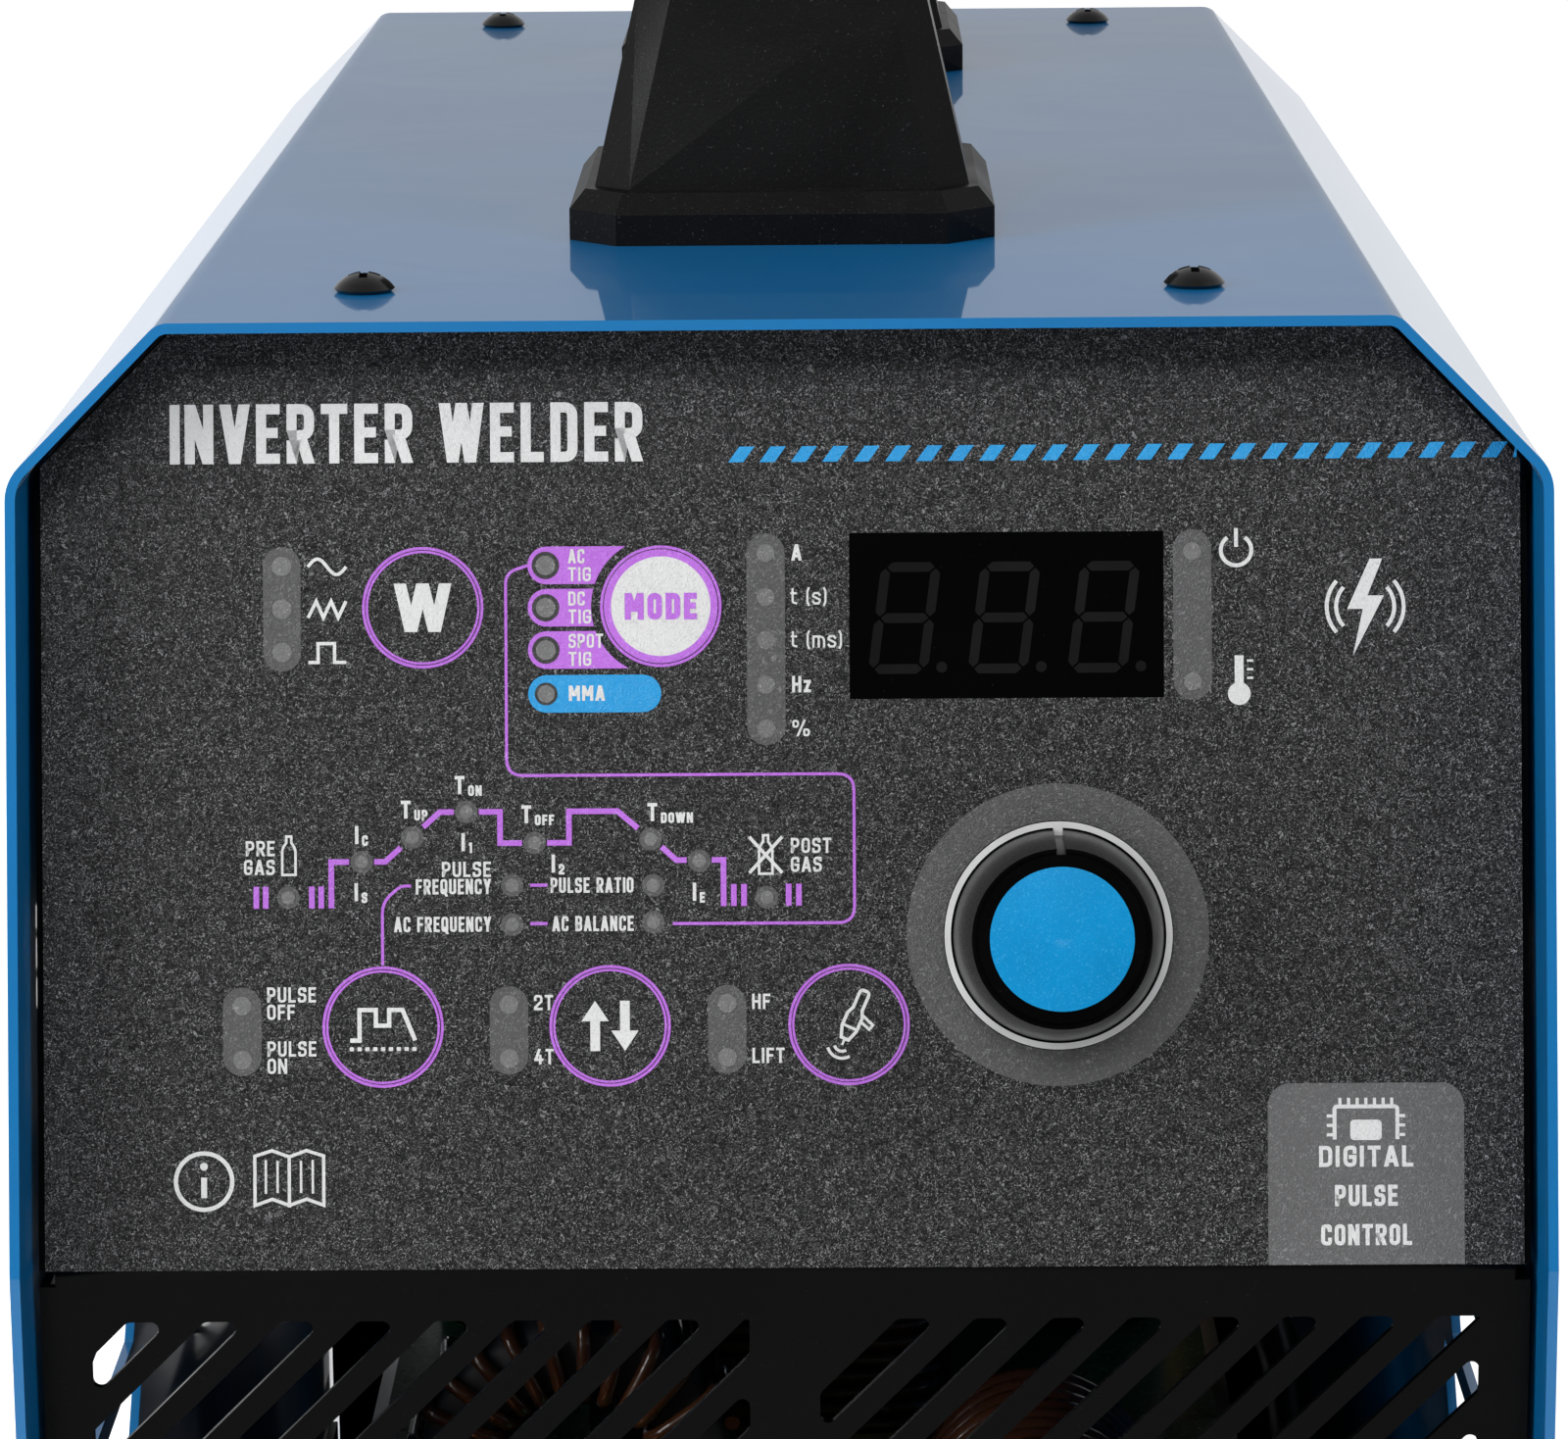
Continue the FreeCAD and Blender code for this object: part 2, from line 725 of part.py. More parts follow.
def make_handle_bolt():
    head = pin(V(0, bolt_seat - bolt_head_height, 0), V(0, 1, 0), bolt_head_height, bolt_head_radius)
    socket = placed(hexagon(0, 0, -bolt_seat + bolt_head_height - bolt_key_depth, hidden,
                            bolt_key_radius), UPRIGHT)
    shank = pin(V(0, bolt_seat, 0), V(0, 1, 0), bolt_length, bolt_radius)
    return joined([head.cut(socket), shank])


nodes["handle_grip"] = make_grip()
handle_bolt = standing(make_handle_bolt(), 0, 0, bolt_rise)
nodes["handle_bolts"] = many([placed(handle_bolt, front_leg_frame), placed(handle_bolt, rear_leg_frame)])
base_screw = joined([rod(0, 0, -cover_sheet - bolt_head_height, -cover_sheet, bolt_head_radius),
                     rod(0, 0, -cover_sheet, base_screw_length - cover_sheet - base_screw_spare,
                         bolt_radius)])
nodes["handle_base_screws"] = many([standing(base_screw, x, y, case_top) for x, y in base_screw_places])
nodes["top_cover"] = make_cover()


# ---------------------------------------------------------------- tray and feet
def make_tray():
    side = inner_half - tray_gap
    front = front_wall + panel_sheet
    back = rear_wall - panel_sheet
    flange_front = front + panel_flange + 1
    flange_back = back - panel_flange - 1
    end_half = panel_half - panel_sheet - 2
    pieces = [block(-side, side, front, back, foot_height, floor_top)]
    for sign in (-1, 1):
        edges = sorted((sign * side, sign * (side - tray_sheet)))
        pieces.append(block(edges[0], edges[1], flange_front, flange_back, foot_height,
                            foot_height + tray_flange))
    for y0 in (front, back - tray_sheet):
        pieces.append(block(-end_half, end_half, y0, y0 + tray_sheet, foot_height,
                            foot_height + tray_end_flange))
    tools = [rod(x, y, foot_height - 1, floor_top + 1, bolt_radius + loose_gap) for x, y in foot_places]
    for sign in (-1, 1):
        for along, rise in side_screw_places:
            tools.append(placed(rod(0, 0, -8, 8, screw_radius), side_frame(sign, along, rise, side)))
    for across, rise in panel_screw_places:
        tools.append(placed(rod(across, rise, -8, 0, screw_radius), FRONT_WALL))
        tools.append(placed(rod(across, rise, -8, 0, screw_radius), REAR_WALL))
    return joined(pieces).cut(tools)


nodes["chassis_tray"] = make_tray()
foot = cone(0, 0, 0, foot_height, foot_bottom_radius, foot_top_radius)
foot = foot.cut([rod(0, 0, -1, foot_height + 1, bolt_radius + loose_gap),
                 rod(0, 0, -1, foot_height / 2, bolt_head_radius + foot_recess_gap)])
foot_bolt = joined([rod(0, 0, foot_height / 2 - foot_bolt_head, foot_height / 2, bolt_head_radius),
                    rod(0, 0, foot_height / 2, floor_top + foot_bolt_reach, bolt_radius)])
foot_nut = hexagon(0, 0, floor_top, floor_top + foot_nut_height, foot_nut_radius)
foot_nut = foot_nut.cut(rod(0, 0, 0, hidden, bolt_radius + fit_gap))
nodes["rubber_feet"] = many([standing(foot, x, y) for x, y in foot_places])
nodes["feet_bolts"] = many([standing(piece, x, y) for x, y in foot_places for piece in (foot_bolt, foot_nut)])


# ---------------------------------------------------------------- front and rear panels
def panel_blank():
    """Bent sheet with its edges folded back, in place at the front."""
    top = case_top - cover_sheet - panel_top_gap
    bottom = foot_height
    top_y = front_wall + (top - kink_height) * lean_tan
    back_top = top - panel_sheet
    back = front_wall + panel_sheet
    slope_back = panel_sheet / math.cos(math.radians(face_lean))
    back_kink = kink_height + panel_sheet * math.tan(math.radians(face_lean / 2))
    back_top_y = front_wall + slope_back + (back_top - kink_height) * lean_tan
    sheet_points = [(front_wall, bottom), (front_wall, kink_height), (top_y, top),
                    (top_y + top_flange, top), (top_y + top_flange, back_top), (back_top_y, back_top),
                    (back, back_kink), (back, bottom)]
    bends = [0, kink_bend + panel_sheet, panel_bend + panel_sheet, 0, 0, panel_bend, kink_bend, 0]
    side_inset = half_width - panel_half
    top_inset = cover_sheet + panel_top_gap
    face = side_slab(sheet_points, -half_width, half_width, bends)
    face = face.common(case_prism(side_inset, top_inset, front_rim, case_middle))
    edge = case_prism(side_inset, top_inset, front_rim, case_middle)
    edge = edge.cut(case_prism(side_inset + panel_sheet, top_inset + panel_sheet, front_rim, case_middle))
    flange_low = foot_height + tray_flange + 6
    region = [(front_wall, flange_low), (front_wall, kink_height), (top_y, top),
              (top_y + panel_flange, top), (front_wall + panel_flange, kink_height),
              (front_wall + panel_flange, flange_low)]
    flanges = edge.common(side_slab(region, -half_width, half_width))
    blank = joined([face, flanges])
    shoulder = case_outline(side_inset, top_inset, 0)
    tools = []
    for sign in (-1, 1):
        edge_x = sign * (panel_half - relief_depth / 2)
        tools.append(block(edge_x - relief_depth / 2 - 0.1, edge_x + relief_depth / 2 + 0.1,
                           front_rim, front_wall + panel_flange + 2,
                           kink_height - relief_width, kink_height))
        for x, z in (shoulder[1], shoulder[2]):
            tools.append(placed(rod(sign * abs(x), z, -case_middle, -front_rim, relief_width), UPRIGHT))
    return blank.cut(tools)


blank_panel = panel_blank()
to_rear = FreeCAD.Placement(V(0, 2 * case_middle, 0), HALF_TURN)


def led_slot(places):
    """One long window behind a printed strip of lamps."""
    low = min(v for _, v in places)
    high = max(v for _, v in places)
    u = places[0][0]
    return pad(u, (low + high) / 2, 2 * led_window, high - low + 2 * led_window, -5, 1, led_window - 0.01)


single_leds = leds_process + leds_curve + leds_pulse
strip_leds = [leds_waveform, leds_unit, leds_state, leds_choice[0:2], leds_choice[2:4], leds_choice[4:6]]
all_leds = single_leds + [place for group in strip_leds for place in group]


def make_front_panel():
    low = kink_height - grille_top_drop - grille_height
    high = kink_height - grille_top_drop
    inner = grille_centre_bar / 2
    outer = inner + grille_group
    wall_tools = []
    for left, right, phase in ((-outer, -inner, slot_phase_left), (inner, outer, slot_phase_right)):
        wall_tools += slant_slots(left, right, low, high, slot_pitch, slot_width, phase, slot_corner)
    for across in (-socket_x, socket_x):
        wall_tools.append(rod(across, connection_height, -hidden, hidden, socket_neck_radius + loose_gap))
    wall_tools.append(rod(connector_x, connection_height, -hidden, hidden, connector_radius + loose_gap))
    wall_tools.append(rod(outlet_x, connection_height, -hidden, hidden, fitting_nose_radius + loose_gap))
    for across, rise in panel_screw_places:
        wall_tools.append(rod(across, rise, -5, 5, screw_radius))
    wall_tools = [tool.common(block(-200, 200, 0, 400, -8, 8)) for tool in wall_tools]
    face_tools = [rod(u, v, -5, 5, key_radius + fit_gap) for u, v in keys.values()]
    face_tools += [rod(u, v, -5, 5, led_window) for u, v in single_leds]
    face_tools += [led_slot(places) for places in strip_leds]
    face_tools.append(centred(window_centre[0], window_centre[1], module_width + 2 * module_gap,
                              module_height + 2 * module_gap, -5, 5))
    face_tools.append(rod(knob_place[0], knob_place[1], -5, 5, bushing_radius + fit_gap))
    top_tools = [rod(place.x, place.y, case_top - 8, case_top, screw_radius)
                 for place in top_screw_places if place.y < case_middle]
    tools = [placed(tool, FRONT_WALL) for tool in wall_tools]
    tools += [placed(tool, FRONT_FACE) for tool in face_tools] + top_tools
    return blank_panel.cut(tools)


def make_rear_panel():
    wall_tools = [rod(fan_x, fan_rise, -8, 8, fan_bore_radius)]
    for sx in (-1, 1):
        for sy in (-1, 1):
            wall_tools.append(rod(fan_x + sx * fan_hole_offset, fan_rise + sy * fan_hole_offset, -8, 8,
                                  screw_radius))
    wall_tools.append(rod(rear_column_x, gland_rise, -8, 8, gland_thread_radius + loose_gap))
    wall_tools.append(rod(rear_column_x, inlet_rise, -8, 8, fitting_nose_radius + loose_gap))
    for across, rise in panel_screw_places:
        wall_tools.append(rod(across, rise, -5, 5, screw_radius))
    face_tools = [centred(switch_place[0], switch_place[1], 2 * (switch_body_x + loose_gap),
                          2 * (switch_body_v + loose_gap), -5, 5)]
    top_tools = [rod(place.x, place.y, case_top - 8, case_top, screw_radius)
                 for place in top_screw_places if place.y > case_middle]
    tools = [placed(tool, REAR_WALL) for tool in wall_tools]
    tools += [placed(tool, REAR_FACE) for tool in face_tools] + top_tools
    return placed(blank_panel, to_rear).cut(tools)


nodes["front_panel"] = make_front_panel()
nodes["rear_panel"] = make_rear_panel()


# ---------------------------------------------------------------- overlay, window and keys
def make_overlay():
    sheet = block(-overlay_half_width, overlay_half_width, 0, case_top, 0, overlay_sheet)
    sheet = placed(sheet, FRONT_FACE)
    sheet = sheet.common(case_prism(half_width - overlay_half_width, cover_sheet + overlay_top_gap,
                                    front_rim, case_middle))
    tools = [rod(u, v, -1, 2, key_radius + fit_gap) for u, v in keys.values()]
    tools.append(centred(window_centre[0], window_centre[1], window_width + 2 * fit_gap,
                         window_height + 2 * fit_gap, -1, 2))
    tools.append(rod(knob_place[0], knob_place[1], -1, 2, encoder_nut_radius + loose_gap))
    return sheet.cut([placed(tool, FRONT_FACE) for tool in tools])


nodes["panel_overlay"] = make_overlay()
nodes["display_window"] = placed(pad(window_centre[0], window_centre[1], window_width, window_height, 0,
                                     overlay_sheet, window_corner), FRONT_FACE)
stem_tip = -board_depth + switch_body + switch_nub + key_travel + key_stem_gap


def make_key(u, v):
    back = -panel_sheet - key_rest_gap
    pieces = [rod(u, v, back, overlay_sheet + key_proud, key_radius),
              rod(u, v, back - key_flange, back, key_flange_radius),
              rod(u, v, stem_tip, back, key_stem_radius)]
    return placed(joined(pieces), FRONT_FACE)


for name, (u, v) in keys.items():
    nodes[name] = make_key(u, v)

# ---------------------------------------------------------------- control board
board_front = -board_depth
standoff_places = [(board_left + standoff_inset, board_low + standoff_inset),
                   (board_right - standoff_inset, board_low + standoff_inset),
                   (board_left + standoff_inset, board_high - standoff_inset),
                   (board_right - standoff_inset, board_high - standoff_inset),
                   (standoff_middle[0], board_low + standoff_middle[1])]
board = block(board_left, board_right, board_low, board_high, board_front - board_sheet, board_front)
nodes["control_board"] = placed(board, FRONT_FACE)
nodes["board_standoffs"] = placed(many([rod(u, v, board_front, -panel_sheet, standoff_radius)
                                        for u, v in standoff_places]), FRONT_FACE)
switches = []
for u, v in keys.values():
    body = centred(u, v, switch_side, switch_side, board_front, board_front + switch_body)
    nub = rod(u, v, board_front + switch_body, board_front + switch_body + switch_nub, switch_nub_radius)
    switches.append(joined([body, nub]))
nodes["tact_switches"] = placed(many(switches), FRONT_FACE)
nodes["panel_leds"] = placed(many([rod(u, v, board_front, -led_depth, led_radius) for u, v in all_leds]),
                             FRONT_FACE)
nodes["display_module"] = placed(centred(window_centre[0], window_centre[1], module_width, module_height,
                                         board_front, -fit_gap), FRONT_FACE)

# ---------------------------------------------------------------- encoder and knob
KNOB = FRONT_FACE.multiply(FreeCAD.Placement(V(knob_place[0], knob_place[1], 0), FreeCAD.Rotation()))
cavity_top = -panel_sheet - encoder_wall
collar_top = cavity_top - collar_gap
collar_low = collar_top - collar_height
plunger_top = collar_low - fit_gap
cavity_low = plunger_top - plunger_height - push_travel - plunger_room


def make_encoder_body():
    body = centred(0, 0, encoder_side, encoder_side, board_front, -panel_sheet)
    bushing = rod(0, 0, -panel_sheet, bushing_tip, bushing_radius)
    cavity = rod(0, 0, cavity_low, cavity_top, encoder_cavity_radius)
    bore = rod(0, 0, cavity_low, bushing_tip + 1, shaft_radius + fit_gap)
    return joined([body, bushing]).cut([cavity, bore])


def make_knob():
    skirt_top = knob_lift + knob_skirt
    face = knob_lift + knob_height
    body = joined([rod(0, 0, knob_lift, skirt_top, knob_skirt_radius),
                   cone(0, 0, skirt_top, face, knob_base_radius, knob_face_radius)])
    tools = [rod(0, 0, knob_lift - 1, knob_lift + knob_hollow, knob_hollow_radius),
             rod(0, 0, knob_lift, shaft_tip, shaft_radius),
             rod(0, 0, face - cap_depth, face + 1, cap_radius)]
    notch = block(-pointer_width / 2, pointer_width / 2, cap_radius, knob_base_radius + 1, skirt_top,
                  face + 1)
    notch = notch.cut(cone(0, 0, skirt_top, face, knob_base_radius - notch_depth,
                           knob_face_radius - notch_depth))
    face_groove = ring(0, 0, face - groove_depth, face + 1, groove_radius + groove_width / 2,
                       groove_radius - groove_width / 2)
    return body.cut(tools + [notch, face_groove, knob_ring_shape()])


def knob_ring_shape():
    top = knob_lift + knob_skirt
    circle = ring(0, 0, top - ring_depth, top, ring_radius + ring_width / 2, ring_radius - ring_width / 2)
    tick = block(-pointer_width / 2, pointer_width / 2, knob_base_radius - notch_depth, ring_radius,
                 top - ring_depth, top)
    return joined([circle, tick])


def make_cap():
    face = knob_lift + knob_height
    disc = rod(0, 0, face - cap_depth, face, cap_radius - fit_gap)
    radius = (cap_radius ** 2 + cap_dome ** 2) / (2 * cap_dome)
    ball = Part.makeSphere(radius, V(0, 0, face + cap_dome - radius))
    dome = ball.common(rod(0, 0, face, face + cap_dome + 1, cap_radius - fit_gap))
    return joined([disc, dome])


nodes["encoder_body"] = placed(make_encoder_body(), KNOB)
nodes["encoder_nut"] = placed(hexagon(0, 0, 0, encoder_nut_height, encoder_nut_radius)
                              .cut(rod(0, 0, -1, hidden, bushing_radius + fit_gap)), KNOB)
nodes["encoder_plunger"] = placed(rod(0, 0, plunger_top - plunger_height, plunger_top,
                                      encoder_cavity_radius - fit_gap), KNOB)
nodes["encoder_shaft"] = placed(joined([rod(0, 0, collar_low, collar_top, collar_radius),
                                        rod(0, 0, collar_top, shaft_tip, shaft_radius)]), KNOB)
nodes["encoder_knob"] = placed(make_knob(), KNOB)
nodes["knob_ring"] = placed(knob_ring_shape(), KNOB)
nodes["knob_cap"] = placed(make_cap(), KNOB)


# ---------------------------------------------------------------- front connections
def make_socket_body(x, y):
    pieces = [rod(x, y, 0, socket_flange, socket_flange_radius),
              cone(x, y, socket_flange, socket_stand, socket_nose_radius + socket_nose_taper,
                   socket_nose_radius),
              rod(x, y, -socket_neck, 0, socket_neck_radius)]
    bore = rod(x, y, -hidden, hidden, contact_radius + fit_gap)
    return joined(pieces).cut(bore)


def make_contact(x, y):
    mouth = socket_stand - contact_recess
    end = mouth - contact_length
    pieces = [rod(x, y, end, mouth, contact_radius), rod(x, y, end - stud_length, end, stud_radius)]
    bore = rod(x, y, mouth - socket_bore_depth, mouth + 1, socket_bore_radius)
    key = block(x - contact_key_width / 2, x + contact_key_width / 2, y, y + contact_key_reach,
                mouth - socket_bore_depth / 2, mouth + 1)
    return joined(pieces).cut([bore, key])


contact_end = socket_stand - contact_recess - contact_length
for name, x in (("negative", -socket_x), ("positive", socket_x)):
    nodes[name + "_socket_body"] = placed(make_socket_body(x, connection_height), FRONT_WALL)
    nodes[name + "_socket_contact"] = placed(make_contact(x, connection_height), FRONT_WALL)
socket_nuts = []
for x in (-socket_x, socket_x):
    low = -panel_sheet - lock_nut_height
    socket_nuts.append(hexagon(x, connection_height, low, -panel_sheet, lock_nut_radius)
                       .cut(rod(x, connection_height, -hidden, hidden, socket_neck_radius + fit_gap)))
    top = contact_end - busbar_sheet
    socket_nuts.append(hexagon(x, connection_height, top - stud_nut_height, top, stud_nut_radius)
                       .cut(rod(x, connection_height, -90, hidden, stud_radius + fit_gap)))
nodes["socket_nuts"] = placed(many(socket_nuts), FRONT_WALL)


def make_connector():
    x, y = connector_x, connection_height
    shell = joined([rod(x, y, -connector_tail, connector_stand, connector_radius),
                    rod(x, y, 0, connector_flange, connector_flange_radius)])
    shell = shell.cut(rod(x, y, -hidden, hidden, connector_radius - connector_wall))
    core = rod(x, y, -connector_tail, connector_stand - connector_core_drop,
               connector_radius - connector_wall - fit_gap)
    holes = []
    for step in range(connector_pins):
        angle = math.radians(90 + 360 * step / connector_pins)
        holes.append(rod(x + connector_pin_circle * math.cos(angle),
                         y + connector_pin_circle * math.sin(angle),
                         -connector_pin_depth, connector_stand, connector_pin_radius))
    return shell, core.cut(holes)


connector_shell, connector_core = make_connector()
nodes["torch_connector_shell"] = placed(connector_shell, FRONT_WALL)
nodes["torch_connector_core"] = placed(connector_core, FRONT_WALL)


def make_fitting(x, y, nose_radius, stand, tail):
    pieces = [hexagon(x, y, 0, fitting_hex, fitting_hex_radius),
              rod(x, y, fitting_hex, stand, nose_radius),
              rod(x, y, -panel_sheet - fitting_thread, 0, fitting_nose_radius),
              rod(x, y, -tail, -panel_sheet - fitting_thread, fitting_tail_radius)]
    return joined(pieces).cut(rod(x, y, -hidden, hidden, fitting_bore_radius))


nodes["gas_outlet_fitting"] = placed(make_fitting(outlet_x, connection_height, fitting_nose_radius,
                                                  fitting_stand, fitting_tail), FRONT_WALL)


# ---------------------------------------------------------------- fan
def make_fan_frame():
    low, high = -panel_sheet - fan_depth, -panel_sheet
    body = pad(fan_x, fan_rise, fan_side, fan_side, low, high, fan_corner)
    tools = [rod(fan_x, fan_rise, low - 1, high + 1, fan_bore_radius)]
    for sx in (-1, 1):
        for sy in (-1, 1):
            tools.append(rod(fan_x + sx * fan_hole_offset, fan_rise + sy * fan_hole_offset, low - 1,
                             high + 1, screw_radius))
    body = body.cut(tools)
    pieces = [body, rod(fan_x, fan_rise, low, low + fan_motor_plate, fan_motor_radius),
              rod(fan_x, fan_rise, low, low + fan_motor_plate + fan_boss, fan_boss_radius)]
    for step in range(fan_struts):
        strut = block(fan_motor_radius - 2, fan_bore_radius + 1, -fan_strut_width / 2, fan_strut_width / 2,
                      low, low + fan_motor_plate)
        strut.rotate(V(0, 0, 0), V(0, 0, 1), 45 + 360 * step / fan_struts)
        pieces.append(standing(strut, fan_x, fan_rise))
    return joined(pieces).cut(rod(fan_x, fan_rise, low - 1, 0, fan_shaft_radius + fit_gap))


def make_fan_rotor():
    low = -panel_sheet - fan_depth + fan_motor_plate + fan_hub_gap
    high = -panel_sheet - fan_front_gap
    cup = rod(fan_x, fan_rise, low, high, fan_hub_radius)
    inner = rod(fan_x, fan_rise, low - 1, high - fan_hub_cap, fan_hub_radius - fan_hub_wall)
    cup = cup.cut(inner)
    pieces = [cup, rod(fan_x, fan_rise, low - fan_motor_plate + fan_shaft_gap, high - 1, fan_shaft_radius)]
    tip = fan_bore_radius - fan_tip_gap
    for step in range(fan_blades):
        blade = block(fan_hub_radius - 1, tip, -fan_blade_chord / 2, fan_blade_chord / 2,
                      -fan_blade_sheet / 2, fan_blade_sheet / 2)
        blade.rotate(V(0, 0, 0), V(1, 0, 0), fan_blade_pitch)
        blade.rotate(V(0, 0, 0), V(0, 0, 1), 360.0 * step / fan_blades)
        blade.translate(V(fan_x, fan_rise, (low + high) / 2))
        pieces.append(blade.common(rod(fan_x, fan_rise, low, high, tip)))
    shaft = pieces.pop(1)
    return joined([joined(pieces).cut(inner), shaft])


def make_fan_guard():
    high = guard_lift + guard_wire
    pieces = [ring(0, 0, guard_lift, high, radius + guard_wire / 2, radius - guard_wire / 2)
              for radius in guard_rings]
    reach = math.hypot(fan_hole_offset, fan_hole_offset)
    for step in range(4):
        spoke = block(guard_rings[0], reach - screw_head_radius - loose_gap, -guard_wire / 2,
                      guard_wire / 2, guard_lift, high)
        eye = rod(reach, 0, 0, guard_eye, guard_eye_radius)
        for piece in (spoke, eye):
            piece.rotate(V(0, 0, 0), V(0, 0, 1), 45 + 90 * step)
            pieces.append(piece)
    guard = standing(joined(pieces), fan_x, fan_rise)
    return guard.cut([rod(fan_x + sx * fan_hole_offset, fan_rise + sy * fan_hole_offset, -1, hidden,
                          screw_radius + loose_gap) for sx in (-1, 1) for sy in (-1, 1)])


nodes["fan_frame"] = placed(make_fan_frame(), REAR_WALL)
nodes["fan_rotor"] = placed(make_fan_rotor(), REAR_WALL)
nodes["fan_guard"] = placed(make_fan_guard(), REAR_WALL)
fan_screw = pan_screw(fan_depth + guard_eye + panel_sheet - 1)
nodes["fan_screws"] = placed(many([standing(fan_screw, fan_x + sx * fan_hole_offset,
                                            fan_rise + sy * fan_hole_offset, guard_eye)
                                   for sx in (-1, 1) for sy in (-1, 1)]), REAR_WALL)


# ---------------------------------------------------------------- mains switch
def make_switch_housing():
    u, v = switch_place
    body = joined([centred(u, v, 2 * switch_flange_x, 2 * switch_flange_v, 0, switch_flange),
                   centred(u, v, 2 * switch_body_x, 2 * switch_body_v, -switch_depth, 0)])
    well = centred(u, v, 2 * switch_well_x, 2 * switch_well_v, -switch_well_depth, switch_flange + 1)
    seat = pin(V(u - switch_well_x - rocker_seat, v, -rocker_pivot_depth), V(1, 0, 0),
               2 * (switch_well_x + rocker_seat), rocker_pin_radius + fit_gap)
    return body.cut([well, seat])


def make_rocker():
    u, v = switch_place
    half = switch_well_x - rocker_side_gap
    shape = [(-rocker_reach, rocker_high), (-rocker_reach, -rocker_deep), (rocker_reach, -rocker_deep),
             (rocker_reach, rocker_high), (0, rocker_dip)]
    body = placed(slab(shape, -half, half, rocker_corner), SIDEWAYS)
    pivot = pin(V(-half - rocker_pin_reach, 0, -rocker_pivot_depth), V(1, 0, 0),
                2 * (half + rocker_pin_reach), rocker_pin_radius)
    rocker = joined([body, pivot])
    rocker.rotate(V(0, 0, -rocker_pivot_depth), V(1, 0, 0), -rocker_tilt)
    return standing(rocker, u, v)


nodes["power_switch_housing"] = placed(make_switch_housing(), REAR_FACE)
nodes["power_switch_rocker"] = placed(make_rocker(), REAR_FACE)


# ---------------------------------------------------------------- cable gland, gas inlet and valve
def make_gland():
    x, y = rear_column_x, gland_rise
    neck = gland_stand - gland_neck_drop
    body = joined([hexagon(x, y, 0, gland_hex, gland_hex_radius),
                   rod(x, y, -panel_sheet - gland_thread, neck, gland_thread_radius)])
    nut = hexagon(x, y, -panel_sheet - gland_nut, -panel_sheet, gland_hex_radius)
    nut = nut.cut(rod(x, y, -hidden, hidden, gland_thread_radius + fit_gap))
    dome_top = gland_hex + gland_dome_hex
    dome = joined([hexagon(x, y, gland_hex + gland_dome_start, dome_top, gland_hex_radius - gland_dome_inset),
                   cone(x, y, dome_top, gland_stand, gland_dome_radius - gland_dome_edge,
                        gland_bore_radius + gland_lip)])
    dome = dome.cut(rod(x, y, 0, neck + gland_dome_start, gland_thread_radius + fit_gap))
    bore = rod(x, y, -hidden, hidden, gland_bore_radius)
    return many([body.cut(bore), nut]), dome.cut(bore)


gland_body, gland_dome = make_gland()
nodes["cable_gland"] = placed(gland_body, REAR_WALL)
nodes["gland_dome_nut"] = placed(gland_dome, REAR_WALL)
inlet_tail = panel_sheet + inlet_reach
inlet = joined([hexagon(rear_column_x, inlet_rise, 0, fitting_hex, fitting_hex_radius),
                rod(rear_column_x, inlet_rise, -inlet_tail, inlet_stand - inlet_nipple, fitting_nose_radius),
                rod(rear_column_x, inlet_rise, inlet_stand - inlet_nipple, inlet_stand, inlet_nipple_radius)])
inlet = inlet.cut(rod(rear_column_x, inlet_rise, -hidden, hidden, fitting_bore_radius))
nodes["gas_inlet_fitting"] = placed(inlet, REAR_WALL)


def make_valve():
    x, y = rear_column_x, inlet_rise
    low, high = -panel_sheet - valve_depth, -panel_sheet
    body = centred(x, y, valve_width, valve_width, low, high)
    body = joined([body, rod(x, y, low - valve_port, low, fitting_tail_radius)])
    tools = [rod(x, y, -inlet_tail - valve_seat_gap, high + 1, fitting_nose_radius + fit_gap),
             rod(x, y, low - valve_port - 1, -inlet_tail, fitting_bore_radius)]
    body = body.cut(tools)
    coil_place = V(x, y + valve_width / 2, (low + high) / 2)
    coil = pin(coil_place, V(0, 1, 0), valve_coil_height, valve_coil_radius)
    coil = coil.cut(pin(coil_place, V(0, 1, 0), valve_coil_height, valve_core_radius))
    armature = pin(coil_place, V(0, 1, 0), valve_coil_height + valve_core_stand,
                   valve_core_radius - fit_gap)
    return many([joined([body, armature]), coil])


nodes["gas_valve"] = placed(make_valve(), REAR_WALL)

# ---------------------------------------------------------------- power electronics
fins_low = floor_top + rail_height
sink_top = fins_low + sink_fin + sink_base
board_low_z = sink_top + module_block[2]
board_top_z = board_low_z + board_sheet


def make_heatsink(x0):
    x1 = x0 + sink_width
    pieces = [block(x0, x1, sink_front, sink_back, sink_top - sink_base, sink_top)]
    gap = (sink_width - sink_fin_sheet) / (sink_fin_count - 1)
    for step in range(sink_fin_count):
        left = x0 + step * gap
        pieces.append(block(left, left + sink_fin_sheet, sink_front, sink_back, fins_low,
                            sink_top - sink_base))
    return joined(pieces)


